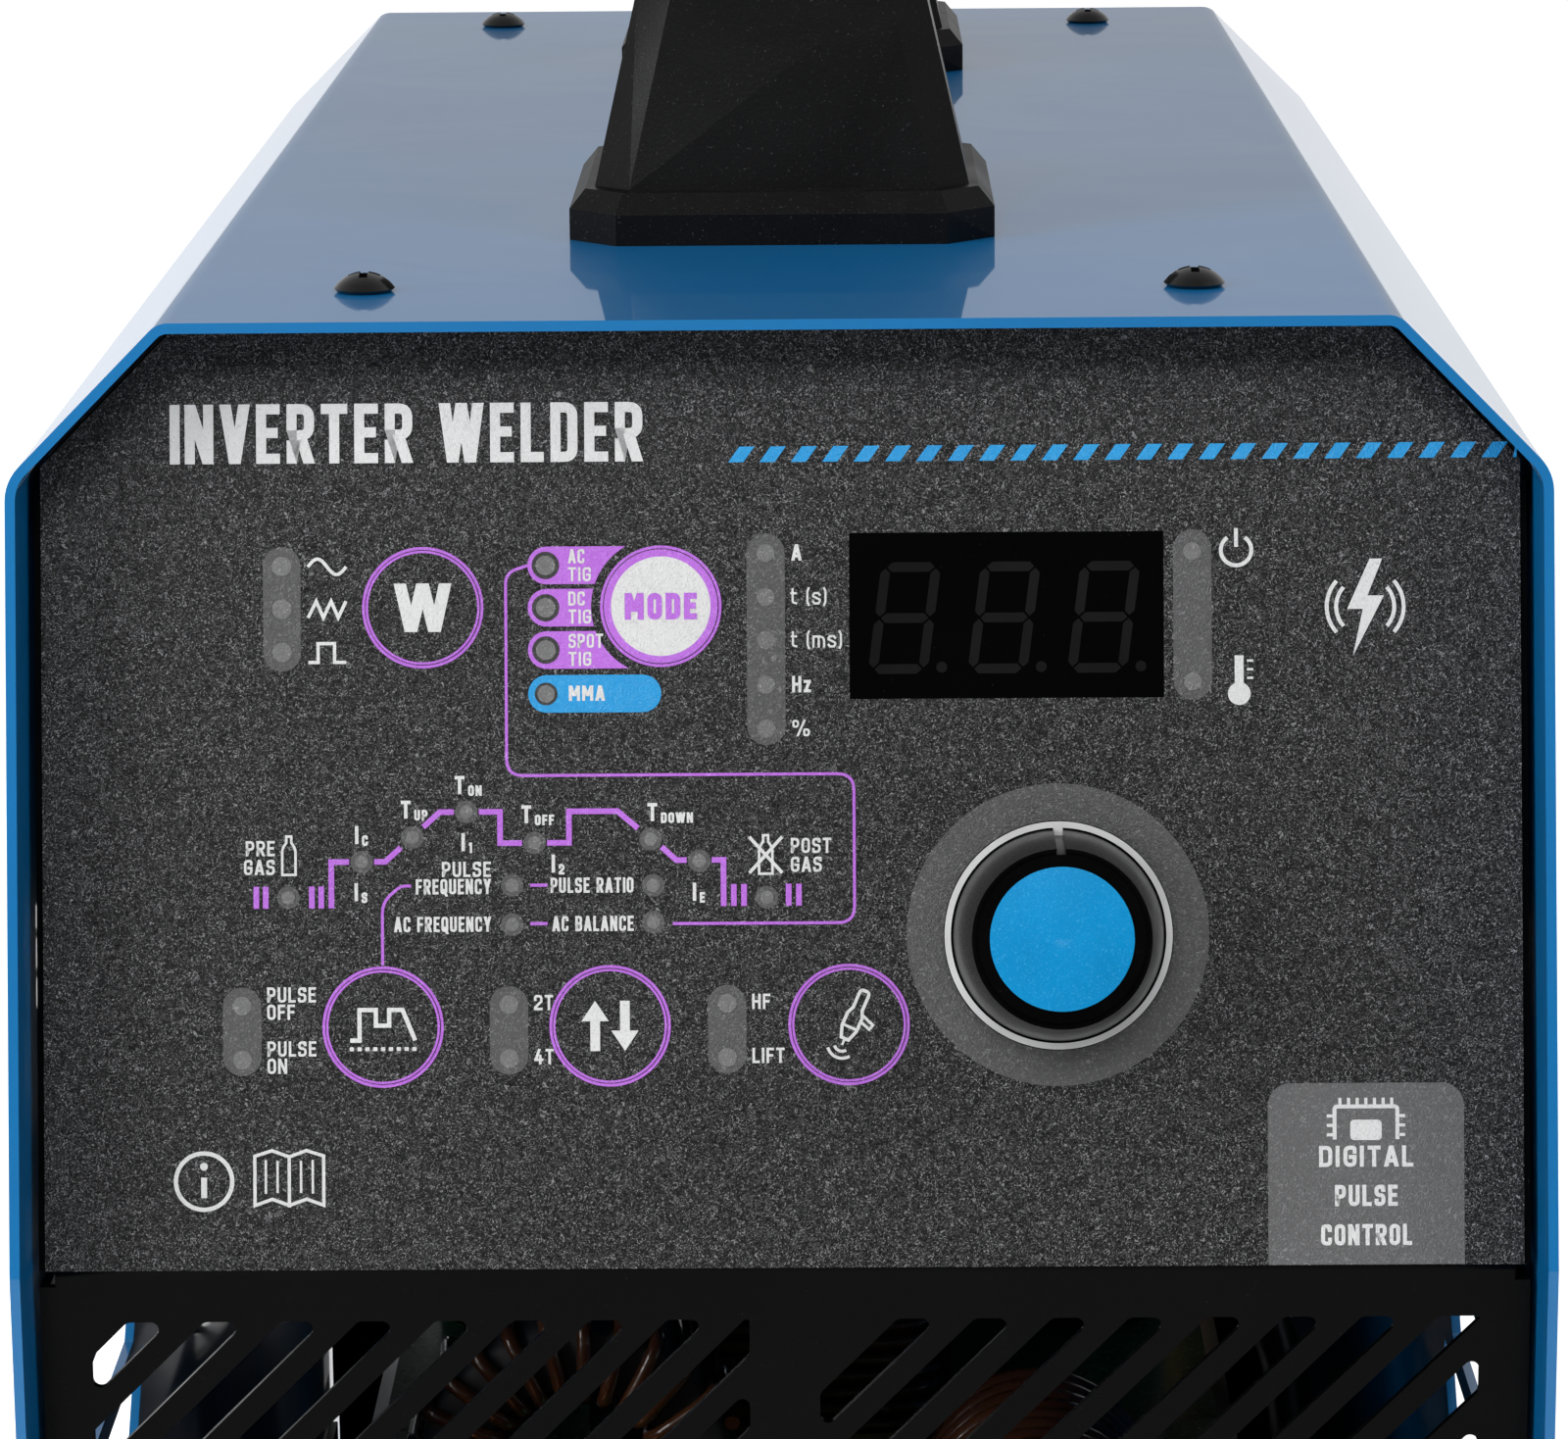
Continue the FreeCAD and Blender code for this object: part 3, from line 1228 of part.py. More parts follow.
sink_starts = (-sink_gap / 2 - sink_width, sink_gap / 2)
nodes["heatsinks"] = many([make_heatsink(x0) for x0 in sink_starts])
rail_half = sink_gap / 2 + sink_width
nodes["heatsink_rails"] = many([block(-rail_half, rail_half, y, y + rail_depth, floor_top, fins_low)
                                for y in (sink_front + rail_inset, sink_back - rail_inset - rail_depth)])
modules = []
for x0 in sink_starts:
    for share in module_places:
        y = sink_front + share * (sink_back - sink_front)
        modules.append(centred(x0 + sink_width / 2, y, module_block[0], module_block[1], sink_top,
                               board_low_z))
nodes["igbt_modules"] = many(modules)
nodes["power_board"] = block(-power_board_half, power_board_half, sink_front, sink_back, board_low_z,
                             board_top_z)
capacitor_start = -capacitor_pitch * (capacitor_count - 1) / 2
nodes["bus_capacitors"] = many([rod(capacitor_start + capacitor_pitch * step, sink_back - capacitor_inset,
                                    board_top_z, board_top_z + capacitor_height, capacitor_radius)
                                for step in range(capacitor_count)])


def make_transformer():
    y = (sink_front + sink_back) / 2
    core = block(-core_width / 2, core_width / 2, y - core_depth / 2, y + core_depth / 2, board_top_z,
                 board_top_z + core_height)
    low, high = board_top_z + core_yoke, board_top_z + core_height - core_yoke
    windows = [block(sign * core_leg / 2 if sign > 0 else -core_leg / 2 - core_window,
                     core_leg / 2 + core_window if sign > 0 else -core_leg / 2,
                     y - core_depth, y + core_depth, low, high) for sign in (-1, 1)]
    reach_x = core_leg / 2 + core_window - winding_gap
    reach_y = core_depth / 2 + winding_overhang
    coil = pad(0, y, 2 * reach_x, 2 * reach_y, low + winding_gap, high - winding_gap,
               winding_corner)
    leg = centred(0, y, core_leg + 2 * winding_gap, core_depth + 2 * winding_gap, low, high)
    return core.cut(windows), coil.cut(leg)


nodes["transformer_core"], nodes["transformer_winding"] = make_transformer()
choke = pin(V(choke_place[0], choke_place[1] - choke_width / 2, board_top_z + choke_radius), V(0, 1, 0),
            choke_width, choke_radius)
choke_hole = pin(V(choke_place[0], choke_place[1] - choke_width, board_top_z + choke_radius), V(0, 1, 0),
                 2 * choke_width, choke_bore)
nodes["output_choke"] = choke.cut(choke_hole)
hf_coil = pin(V(hf_place[0], hf_place[1] - hf_length / 2, board_top_z + hf_radius), V(0, 1, 0), hf_length,
              hf_radius)
hf_hole = pin(V(hf_place[0], hf_place[1] - hf_length, board_top_z + hf_radius), V(0, 1, 0), 2 * hf_length,
              hf_bore)
nodes["hf_coupling_coil"] = hf_coil.cut(hf_hole)


def make_busbar(x):
    front = front_wall - contact_end
    back = sink_front + 14
    points = [(front, connection_height - 10), (front, board_top_z + busbar_sheet),
              (back, board_top_z + busbar_sheet), (back, board_top_z), (front + busbar_sheet, board_top_z),
              (front + busbar_sheet, connection_height - 10)]
    radii = [0, busbar_sheet + 3, 0, 0, 3.0, 0]
    bar = side_slab(points, x - busbar_width / 2, x + busbar_width / 2, radii)
    return bar.cut(pin(V(x, front - 5, connection_height), V(0, 1, 0), 20, stud_radius + fit_gap))


nodes["busbars"] = many([make_busbar(-socket_x), make_busbar(socket_x)])


# ---------------------------------------------------------------- gas hose inside the case
def make_hose():
    start_y = rear_wall - panel_sheet - valve_depth - valve_port
    end_y = front_wall + fitting_tail
    aisle = panel_half - hose_side_gap
    route = [V(-rear_column_x, start_y, inlet_rise), V(-rear_column_x, start_y - 30, inlet_rise),
             V(aisle, start_y - 76, 98), V(aisle, 20, 80), V(aisle, sink_front - 8, 76),
             V(socket_x - 4, sink_front - 38, 70), V(outlet_x, sink_front - 56, connection_height),
             V(outlet_x, end_y, connection_height)]
    edges = []
    here = route[0]
    for index in range(1, len(route) - 1):
        corner = route[index]
        back = route[index - 1] - corner
        ahead = route[index + 1] - corner
        half = back.getAngle(ahead) / 2
        reach = 0.45 * min(back.Length, ahead.Length)
        back.normalize()
        ahead.normalize()
        inward = back + ahead
        inward.normalize()
        radius = reach * math.tan(half)
        middle = corner + inward * (radius / math.sin(half) - radius)
        entry = corner + back * reach
        leave = corner + ahead * reach
        edges.append(Part.LineSegment(here, entry).toShape())
        edges.append(Part.Arc(entry, middle, leave).toShape())
        here = leave
    edges.append(Part.LineSegment(here, route[-1]).toShape())
    path = Part.Wire(edges)
    circle = Part.Wire(Part.makeCircle(hose_radius, route[0], V(0, -1, 0)))
    tube = path.makePipeShell([circle], True, False)
    return tube


nodes["gas_hose"] = make_hose()

# ---------------------------------------------------------------- write the pieces
for name, shape in nodes.items():
    if not shape.isValid():
        print("invalid:", name)
    print(name, len(shape.Solids), round(shape.Volume / 1000, 2))
    shape.exportStep("parts/" + name + ".step")
print(len(nodes), "nodes")
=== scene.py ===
import json
import math

import bpy
from mathutils import Matrix, Vector
from mathutils.geometry import tessellate_polygon


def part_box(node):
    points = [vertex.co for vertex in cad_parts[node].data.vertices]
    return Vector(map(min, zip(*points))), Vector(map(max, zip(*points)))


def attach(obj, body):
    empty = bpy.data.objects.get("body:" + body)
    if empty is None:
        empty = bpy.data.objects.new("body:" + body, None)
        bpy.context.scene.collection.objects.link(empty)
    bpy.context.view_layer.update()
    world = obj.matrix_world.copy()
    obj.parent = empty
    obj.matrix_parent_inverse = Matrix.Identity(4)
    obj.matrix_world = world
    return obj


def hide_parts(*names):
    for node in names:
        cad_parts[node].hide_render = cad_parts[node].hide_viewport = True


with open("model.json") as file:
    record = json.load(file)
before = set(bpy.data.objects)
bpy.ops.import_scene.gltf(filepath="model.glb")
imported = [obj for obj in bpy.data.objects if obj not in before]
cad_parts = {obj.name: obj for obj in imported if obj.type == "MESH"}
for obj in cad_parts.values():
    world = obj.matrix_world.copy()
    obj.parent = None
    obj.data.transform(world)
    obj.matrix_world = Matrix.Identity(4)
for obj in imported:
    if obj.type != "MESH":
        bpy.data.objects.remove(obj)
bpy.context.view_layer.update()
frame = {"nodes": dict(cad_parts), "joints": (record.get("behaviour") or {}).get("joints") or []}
nodes = frame["nodes"]
MM = 0.001

# The sloping face, in mm: u to the right, v up the slope from the overlay's lower edge, w out of the sheet.
face_in = Vector(next(j for j in frame["joints"] if j["name"] == "button_mode_press")["axis"]).normalized()
face_out = -face_in
face_right = Vector((1, 0, 0))
face_up = face_out.cross(face_right)
wall_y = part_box("front_panel")[0].y
kink_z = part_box("panel_overlay")[0].z
face_origin = Vector((0, wall_y, kink_z))
OVERLAY_TOP = 0.8
KEY_TOP = 0.95
KEYS = {"waveform": (-45.6, 84.5), "mode": (-15.2, 84.5), "pulse": (-51.0, 31.0), "trigger": (-22.0, 31.0),
        "ignition": (8.5, 31.0)}
KNOB_PLACE = (35.2, 42.3)


def on_face(u, v, w):
    return face_origin + (face_right * u + face_up * v + face_out * w) * MM


# ------------------------------------------------------------------ materials
def wire(tree, source, target):
    tree.links.new(source, target)


def noise(tree, coords, scale, detail=2.0, distortion=0.0, roughness=0.5):
    tex = tree.nodes.new("ShaderNodeTexNoise")
    tex.inputs["Scale"].default_value = scale
    tex.inputs["Detail"].default_value = detail
    tex.inputs["Distortion"].default_value = distortion
    tex.inputs["Roughness"].default_value = roughness
    wire(tree, coords, tex.inputs["Vector"])
    return tex.outputs[0]


def window_of(tree, value, low, high, to_low=0.0, to_high=1.0):
    node = tree.nodes.new("ShaderNodeMapRange")
    node.inputs["From Min"].default_value = low
    node.inputs["From Max"].default_value = high
    node.inputs["To Min"].default_value = to_low
    node.inputs["To Max"].default_value = to_high
    wire(tree, value, node.inputs["Value"])
    return node.outputs[0]


def mixed(tree, factor, first, second):
    node = tree.nodes.new("ShaderNodeMix")
    node.data_type = "RGBA"
    wire(tree, factor, node.inputs[0])
    for socket, value in ((node.inputs[6], first), (node.inputs[7], second)):
        if hasattr(value, "links"):
            wire(tree, value, socket)
        else:
            socket.default_value = (*value, 1.0)
    return node.outputs[2]


def surface(name, dark, light, rough, swing=0.05, patch=18.0, bumps=(), flecks=(), metal=0.0, coat=0.0,
            coat_rough=0.03, spec=0.5, stretch=None, sheen=0.0, wear=None):
    """A procedural finish.  dark and light are mixed in soft patches, patch per metre.
    bumps: (scale per metre, height in mm, strength, distortion).
    flecks: (scale per metre, low, high, colour, distortion).
    wear: (colour, amount, scale per metre)."""
    mat = bpy.data.materials.new(name)
    mat.use_nodes = True
    tree = mat.node_tree
    shader = next(n for n in tree.nodes if n.type == "BSDF_PRINCIPLED")
    shader.inputs["Metallic"].default_value = metal
    shader.inputs["Coat Weight"].default_value = coat
    shader.inputs["Coat Roughness"].default_value = coat_rough
    shader.inputs["Specular IOR Level"].default_value = spec
    shader.inputs["Sheen Weight"].default_value = sheen
    coords = tree.nodes.new("ShaderNodeTexCoord").outputs["Object"]
    if stretch:
        mapping = tree.nodes.new("ShaderNodeMapping")
        mapping.inputs["Scale"].default_value = stretch
        wire(tree, coords, mapping.inputs["Vector"])
        fine_coords = mapping.outputs[0]
    else:
        fine_coords = coords
    patches = noise(tree, coords, patch, 3.0, 0.4)
    colour = mixed(tree, window_of(tree, patches, 0.3, 0.7), dark, light)
    for scale, low, high, fleck, distortion in flecks:
        spots = noise(tree, fine_coords, scale, 1.5, distortion)
        colour = mixed(tree, window_of(tree, spots, low, high), colour, fleck)
    if wear:
        worn, amount, scale = wear
        marks = noise(tree, coords, scale, 6.0, 1.2, 0.7)
        colour = mixed(tree, window_of(tree, marks, 0.62, 0.74, 0.0, amount), colour, worn)
    wire(tree, colour, shader.inputs["Base Color"])
    smudges = noise(tree, coords, patch * 2.3, 4.0, 0.8)
    wire(tree, window_of(tree, smudges, 0.25, 0.75, rough - swing, rough + swing), shader.inputs["Roughness"])
    normal = None
    for scale, height, strength, distortion in bumps:
        bump = tree.nodes.new("ShaderNodeBump")
        bump.inputs["Strength"].default_value = strength
        bump.inputs["Distance"].default_value = height * MM
        wire(tree, noise(tree, fine_coords, scale, 2.0, distortion), bump.inputs["Height"])
        if normal:
            wire(tree, normal, bump.inputs["Normal"])
        normal = bump.outputs[0]
    if normal:
        wire(tree, normal, shader.inputs["Normal"])
    return mat


# the overlay's coarse worm-like grain, which runs on under everything printed on it
GRAIN = ((1500.0, 0.16, 1.0, 2.2), (3600.0, 0.04, 0.5, 0.6))


def ink(name, dark, light, rough=0.45, fleck=None):
    flecks = ((2300.0, 0.54, 0.76, fleck, 1.6),) if fleck else ()
    return surface(name, dark, light, rough, bumps=GRAIN, flecks=flecks, patch=30.0)


finishes = {
    "cover_paint": surface("cover_paint", (0.0, 0.128, 0.34), (0.0, 0.142, 0.37), 0.45, 0.05, 9.0,
                           bumps=((150.0, 0.006, 0.10, 0.0), (2400.0, 0.002, 0.10, 0.0)),
                           coat=0.75, coat_rough=0.035, spec=0.2, wear=((0.015, 0.16, 0.40), 0.25, 120.0)),
    "black_sheet": surface("black_sheet", (0.0004, 0.0004, 0.0005), (0.001, 0.001, 0.0011), 0.26, 0.06, 16.0,
                           bumps=((420.0, 0.05, 0.30, 0.3), (2600.0, 0.01, 0.25, 0.0)), spec=0.07,
                           flecks=((2300.0, 0.72, 0.80, (0.014, 0.014, 0.015), 0.0),),
                           wear=((0.006, 0.006, 0.0065), 0.35, 160.0)),
    "black_steel": surface("black_steel", (0.0025, 0.0025, 0.0025), (0.006, 0.006, 0.006), 0.22, 0.06, 60.0,
                           bumps=((1800.0, 0.02, 0.25, 0.2),), coat=0.4, coat_rough=0.08, spec=0.4,
                           wear=((0.06, 0.05, 0.04), 0.4, 420.0)),
    # the overlay's bright flecks, colour (0.20, 0.20, 0.205), are painted glints on its grain; the grey flecks
    # are the grain's own speckle
    "overlay": surface("overlay", (0.0014, 0.0014, 0.0015), (0.0026, 0.0026, 0.0027), 0.36, 0.05, 26.0,
                       bumps=GRAIN, spec=0.22, flecks=((1300.0, 0.52, 0.63, (0.034, 0.034, 0.035), 2.6),
                                          (2300.0, 0.57, 0.67, (0.20, 0.20, 0.205), 2.2))),
    "window": surface("window", (0.0006, 0.0006, 0.0007), (0.0010, 0.0010, 0.0011), 0.14, 0.03, 40.0,
                      bumps=((900.0, 0.004, 0.1, 0.0),), spec=0.08,
                      flecks=((3200.0, 0.76, 0.82, (0.02, 0.02, 0.02), 0.0),)),
    "black_plastic": surface("black_plastic", (0.0012, 0.0012, 0.0013), (0.0022, 0.0022, 0.0023), 0.40, 0.06,
                             22.0, bumps=((2100.0, 0.05, 0.45, 0.3), (300.0, 0.03, 0.12, 0.0)), spec=0.17,
                             flecks=((2600.0, 0.66, 0.80, (0.035, 0.035, 0.037), 0.2),),
                             wear=((0.008, 0.008, 0.0085), 0.35, 240.0)),
    "rocker": surface("rocker_plastic", (0.012, 0.012, 0.012), (0.018, 0.018, 0.018), 0.26, 0.05, 60.0,
                      bumps=((1600.0, 0.01, 0.2, 0.0),)),
    "blue_plastic": surface("blue_plastic", (0.0, 0.195, 0.44), (0.0, 0.225, 0.50), 0.42, 0.05, 90.0,
                            bumps=((3200.0, 0.04, 0.5, 0.6),), spec=0.15,
                            flecks=((3600.0, 0.55, 0.80, (0.03, 0.30, 0.58), 0.8),)),
    "white_plastic": surface("white_plastic", (0.50, 0.50, 0.50), (0.60, 0.60, 0.60), 0.42, 0.05, 120.0,
                             bumps=((2200.0, 0.02, 0.3, 0.0),),
                             flecks=((2600.0, 0.68, 0.8, (0.42, 0.42, 0.42), 0.0),)),
    "rubber": surface("rubber", (0.014, 0.014, 0.014), (0.026, 0.026, 0.025), 0.78, 0.08, 35.0,
                      bumps=((1500.0, 0.08, 0.5, 0.3),), sheen=0.15, wear=((0.10, 0.095, 0.09), 0.5, 300.0)),
    "hose": surface("hose", (0.018, 0.018, 0.022), (0.03, 0.03, 0.035), 0.42, 0.06, 30.0,
                    bumps=((1100.0, 0.03, 0.3, 0.0),), wear=((0.08, 0.08, 0.085), 0.4, 260.0)),
    "brass": surface("brass", (0.62, 0.40, 0.13), (0.74, 0.51, 0.20), 0.26, 0.08, 45.0, metal=1.0,
                     bumps=((1500.0, 0.01, 0.35, 0.0),), stretch=(1.0, 9.0, 1.0),
                     wear=((0.34, 0.20, 0.09), 0.55, 210.0)),
    "plated_steel": surface("plated_steel", (0.50, 0.50, 0.49), (0.62, 0.61, 0.60), 0.24, 0.07, 50.0,
                            metal=1.0, bumps=((1700.0, 0.01, 0.3, 0.0),),
                            wear=((0.27, 0.26, 0.25), 0.5, 260.0)),
    "valve": surface("cast_brass", (0.50, 0.33, 0.12), (0.60, 0.42, 0.18), 0.46, 0.08, 60.0, metal=1.0,
                     bumps=((900.0, 0.08, 0.5, 0.2),)),
    "aluminium": surface("aluminium", (0.56, 0.57, 0.58), (0.68, 0.69, 0.70), 0.34, 0.08, 30.0, metal=1.0,
                         bumps=((900.0, 0.015, 0.35, 0.0),), stretch=(8.0, 0.4, 8.0),
                         wear=((0.40, 0.40, 0.41), 0.5, 180.0)),
    "circuit_board": surface("circuit_board", (0.006, 0.085, 0.035), (0.012, 0.13, 0.055), 0.30, 0.06, 60.0,
                             bumps=((700.0, 0.03, 0.35, 0.0),),
                             flecks=((420.0, 0.60, 0.63, (0.05, 0.22, 0.09), 2.5),
                                     (900.0, 0.72, 0.74, (0.55, 0.54, 0.50), 0.0)), coat=0.3),
    "led_lens": surface("led_lens", (0.42, 0.42, 0.40), (0.55, 0.55, 0.53), 0.20, 0.05, 200.0,
                        bumps=((1500.0, 0.01, 0.2, 0.0),)),
    "glass_fibre": surface("glass_fibre", (0.42, 0.38, 0.20), (0.54, 0.50, 0.29), 0.55, 0.08, 40.0,
                           bumps=((1200.0, 0.03, 0.5, 0.0),), stretch=(1.0, 6.0, 6.0)),
    "module": surface("module", (0.020, 0.020, 0.023), (0.035, 0.035, 0.04), 0.45, 0.07, 50.0,
                      bumps=((1300.0, 0.03, 0.4, 0.0),), wear=((0.12, 0.12, 0.12), 0.35, 320.0)),
    "ferrite": surface("ferrite", (0.035, 0.035, 0.038), (0.06, 0.06, 0.064), 0.62, 0.08, 60.0,
                       bumps=((1000.0, 0.06, 0.5, 0.3),), wear=((0.16, 0.15, 0.15), 0.5, 260.0)),
    "winding": surface("winding", (0.055, 0.018, 0.007), (0.10, 0.034, 0.012), 0.28, 0.05, 70.0, coat=0.6,
                       bumps=((900.0, 0.02, 0.25, 0.0),), wear=((0.16, 0.05, 0.02), 0.5, 260.0)),
    "copper": surface("copper", (0.62, 0.27, 0.15), (0.75, 0.36, 0.22), 0.30, 0.08, 40.0, metal=1.0,
                      bumps=((1200.0, 0.01, 0.3, 0.0),), stretch=(1.0, 7.0, 1.0),
                      wear=((0.30, 0.13, 0.08), 0.5, 200.0)),
}
knob_black = surface("knob_black", (0.0004, 0.0004, 0.0005), (0.0010, 0.0010, 0.0011), 0.22, 0.05, 70.0,
                     bumps=((2600.0, 0.012, 0.3, 0.0),), spec=0.10,
                     flecks=((3000.0, 0.72, 0.84, (0.010, 0.010, 0.011), 0.0),))
special = {"encoder_knob": knob_black}

for name, node in nodes.items():
    for slot in node.material_slots:
        slot.material = special.get(name, finishes[slot.material.name])


# ------------------------------------------------------------------ soft edges
def soften_edges(name, width, angle=32.0, segments=2, seam=0.004):
    node = nodes[name]
    weld = node.modifiers.new("join_seams", "WELD")
    weld.merge_threshold = seam * MM
    bevel = node.modifiers.new("soft_edges", "BEVEL")
    bevel.width = width * MM
    bevel.segments = segments
    bevel.limit_method = "ANGLE"
    bevel.angle_limit = math.radians(angle)
    bevel.use_clamp_overlap = True
    bevel.harden_normals = True
    bevel.miter_outer = "MITER_ARC"


for name, width in (("front_panel", 0.45), ("rear_panel", 0.35), ("handle_leg_front", 0.45),
                    ("handle_leg_rear", 0.45)):
    soften_edges(name, width)


# ------------------------------------------------------------------ printing on the sloping face
CORNER_STEPS = 5


def softened(points, closed, default=0.0):
    """The line with its marked corners rounded.  A point is (x, y) or (x, y, radius)."""
    out = []
    count = len(points)
    for i, point in enumerate(points):
        radius = point[2] if len(point) > 2 else default
        here = Vector(point[:2])
        if radius <= 0 or (not closed and i in (0, count - 1)):
            out.append(here)
            continue
        before = Vector(points[i - 1][:2]) - here
        after = Vector(points[(i + 1) % count][:2]) - here
        reach = min(radius, before.length * 0.5, after.length * 0.5)
        first, last = here + before.normalized() * reach, here + after.normalized() * reach
        for step in range(CORNER_STEPS + 1):
            t = step / CORNER_STEPS
            out.append((1 - t) ** 2 * first + 2 * t * (1 - t) * here + t ** 2 * last)
    return out


def rails(line, half, closed):
    """The two edges of a stroke of even width along a line."""
    left, right = [], []
    count = len(line)
    for i, here in enumerate(line):
        before = (here - line[i - 1]) if (closed or i > 0) else None
        after = (line[(i + 1) % count] - here) if (closed or i < count - 1) else None
        along = [d.normalized() for d in (before, after) if d is not None and d.length > 1e-7]
        if not along:
            continue
        normals = [Vector((-d.y, d.x)) for d in along]
        middle = sum(normals, Vector((0, 0)))
        middle = middle.normalized() if middle.length > 1e-6 else normals[0]
        stretch = half / max(0.35, middle.dot(normals[0]))
        left.append(here + middle * stretch)
        right.append(here - middle * stretch)
    return left, right


# Letters for legends: (width, parts).  A tuple of four is a slanted limb, a list is a stroke through points
# in a unit box, and a third number of 1 rounds that corner.
R = 1
GLYPHS = {
    "A": (1.12, [(0, 0, .5, 1), (1, 0, .5, 1), [(.24, .24), (.76, .24)]]),
    "B": (1, [[(0, 0), (0, 1), (1, 1, R), (1, .52, R), (0, .52)],
              [(0, .52), (1, .52, R), (1, 0, R), (0, 0)]]),
    "C": (1, [[(1, .78), (1, 1, R), (0, 1, R), (0, 0, R), (1, 0, R), (1, .22)]]),
    "D": (1, [[(0, 0), (0, 1), (1, 1, R), (1, 0, R), (0, 0)]]),
    "E": (.88, [[(1, 1), (0, 1), (0, 0), (1, 0)], [(0, .52), (.85, .52)]]),
    "F": (.88, [[(1, 1), (0, 1), (0, 0)], [(0, .5), (.85, .5)]]),
    "G": (1, [[(1, .76), (1, 1, R), (0, 1, R), (0, 0, R), (1, 0, R), (1, .46), (.58, .46)]]),
    "H": (1, [[(0, 0), (0, 1)], [(1, 0), (1, 1)], [(0, .5), (1, .5)]]),
    "I": (0, [[(0, 0), (0, 1)]]),
    "L": (.85, [[(0, 1), (0, 0), (1, 0)]]),
    "M": (1.3, [[(0, 0), (0, 1)], [(1, 0), (1, 1)], (0.02, 1, .5, .3), (.98, 1, .5, .3)]),
    "N": (1.06, [[(0, 0), (0, 1)], [(1, 0), (1, 1)], (0, 1, 1, 0)]),
    "O": (1, [[(0, .5), (0, 1, R), (1, 1, R), (1, 0, R), (0, 0, R), (0, .5)]]),
    "P": (1, [[(0, 0), (0, 1), (1, 1, R), (1, .44, R), (0, .44)]]),
    "Q": (1, [[(0, .5), (0, 1, R), (1, 1, R), (1, 0, R), (0, 0, R), (0, .5)], (.45, .36, 1.12, -.14)]),
    "R": (1.02, [[(0, 0), (0, 1), (1, 1, R), (1, .47, R), (0, .47)], (.5, .47, 1, 0)]),
    "S": (1, [[(1, .82), (1, 1, R), (0, 1, R), (0, .52, R), (1, .52, R), (1, 0, R), (0, 0, R), (0, .18)]]),
    "T": (.98, [[(0, 1), (1, 1)], [(.5, 0), (.5, 1)]]),
    "U": (1, [[(0, 1), (0, 0, R), (1, 0, R), (1, 1)]]),
    "V": (1.08, [(0, 1, .5, 0), (1, 1, .5, 0)]),
    "W": (1.62, [(0, 1, .24, 0), (.5, 1, .24, 0), (.5, 1, .76, 0), (1, 1, .76, 0)]),
    "Y": (1.08, [(0, 1, .5, .42), (1, 1, .5, .42), [(.5, 0), (.5, .45)]]),
    "1": (.55, [[(1, 0), (1, 1)], (0, .72, 1, 1)]),
    "2": (1, [[(0, .72), (0, 1, R), (1, 1, R), (1, .58), (0, .12), (0, 0), (1, 0)]]),
    "4": (1.05, [(0, .25, .62, 1), [(0, .25), (1, .25)], [(.72, 0), (.72, .55)]]),
    "t": (.6, [[(0, 1), (0, .08, R), (1, .02)], [(-.35, .72), (.9, .72)]]),
    "s": (.95, [[(1, .6), (.8, .72), (.2, .72), (0, .58), (0, .5), (1, .26), (1, .14), (.8, 0), (.2, 0),
                 (0, .12)]]),
    "m": (1.4, [[(0, 0), (0, .7)], [(0, .7), (1, .7, R), (1, 0)], [(.5, 0), (.5, .7)]]),
    "z": (.8, [[(0, .7), (1, .7)], (1, .7, 0, 0), [(0, 0), (1, 0)]]),
    "(": (.35, [[(1, 1.05), (0, .85, R), (0, .1, R), (1, -.1)]]),
    ")": (.35, [[(0, 1.05), (1, .85, R), (1, .1, R), (0, -.1)]]),
    "%": (1.9, [[(0, .8), (0, 1, R), (.3, 1, R), (.3, .6, R), (0, .6, R), (0, .8)],
                [(.7, .2), (.7, .4, R), (1, .4, R), (1, 0, R), (.7, 0, R), (.7, .2)], (.26, 0, .74, 1)]),
}


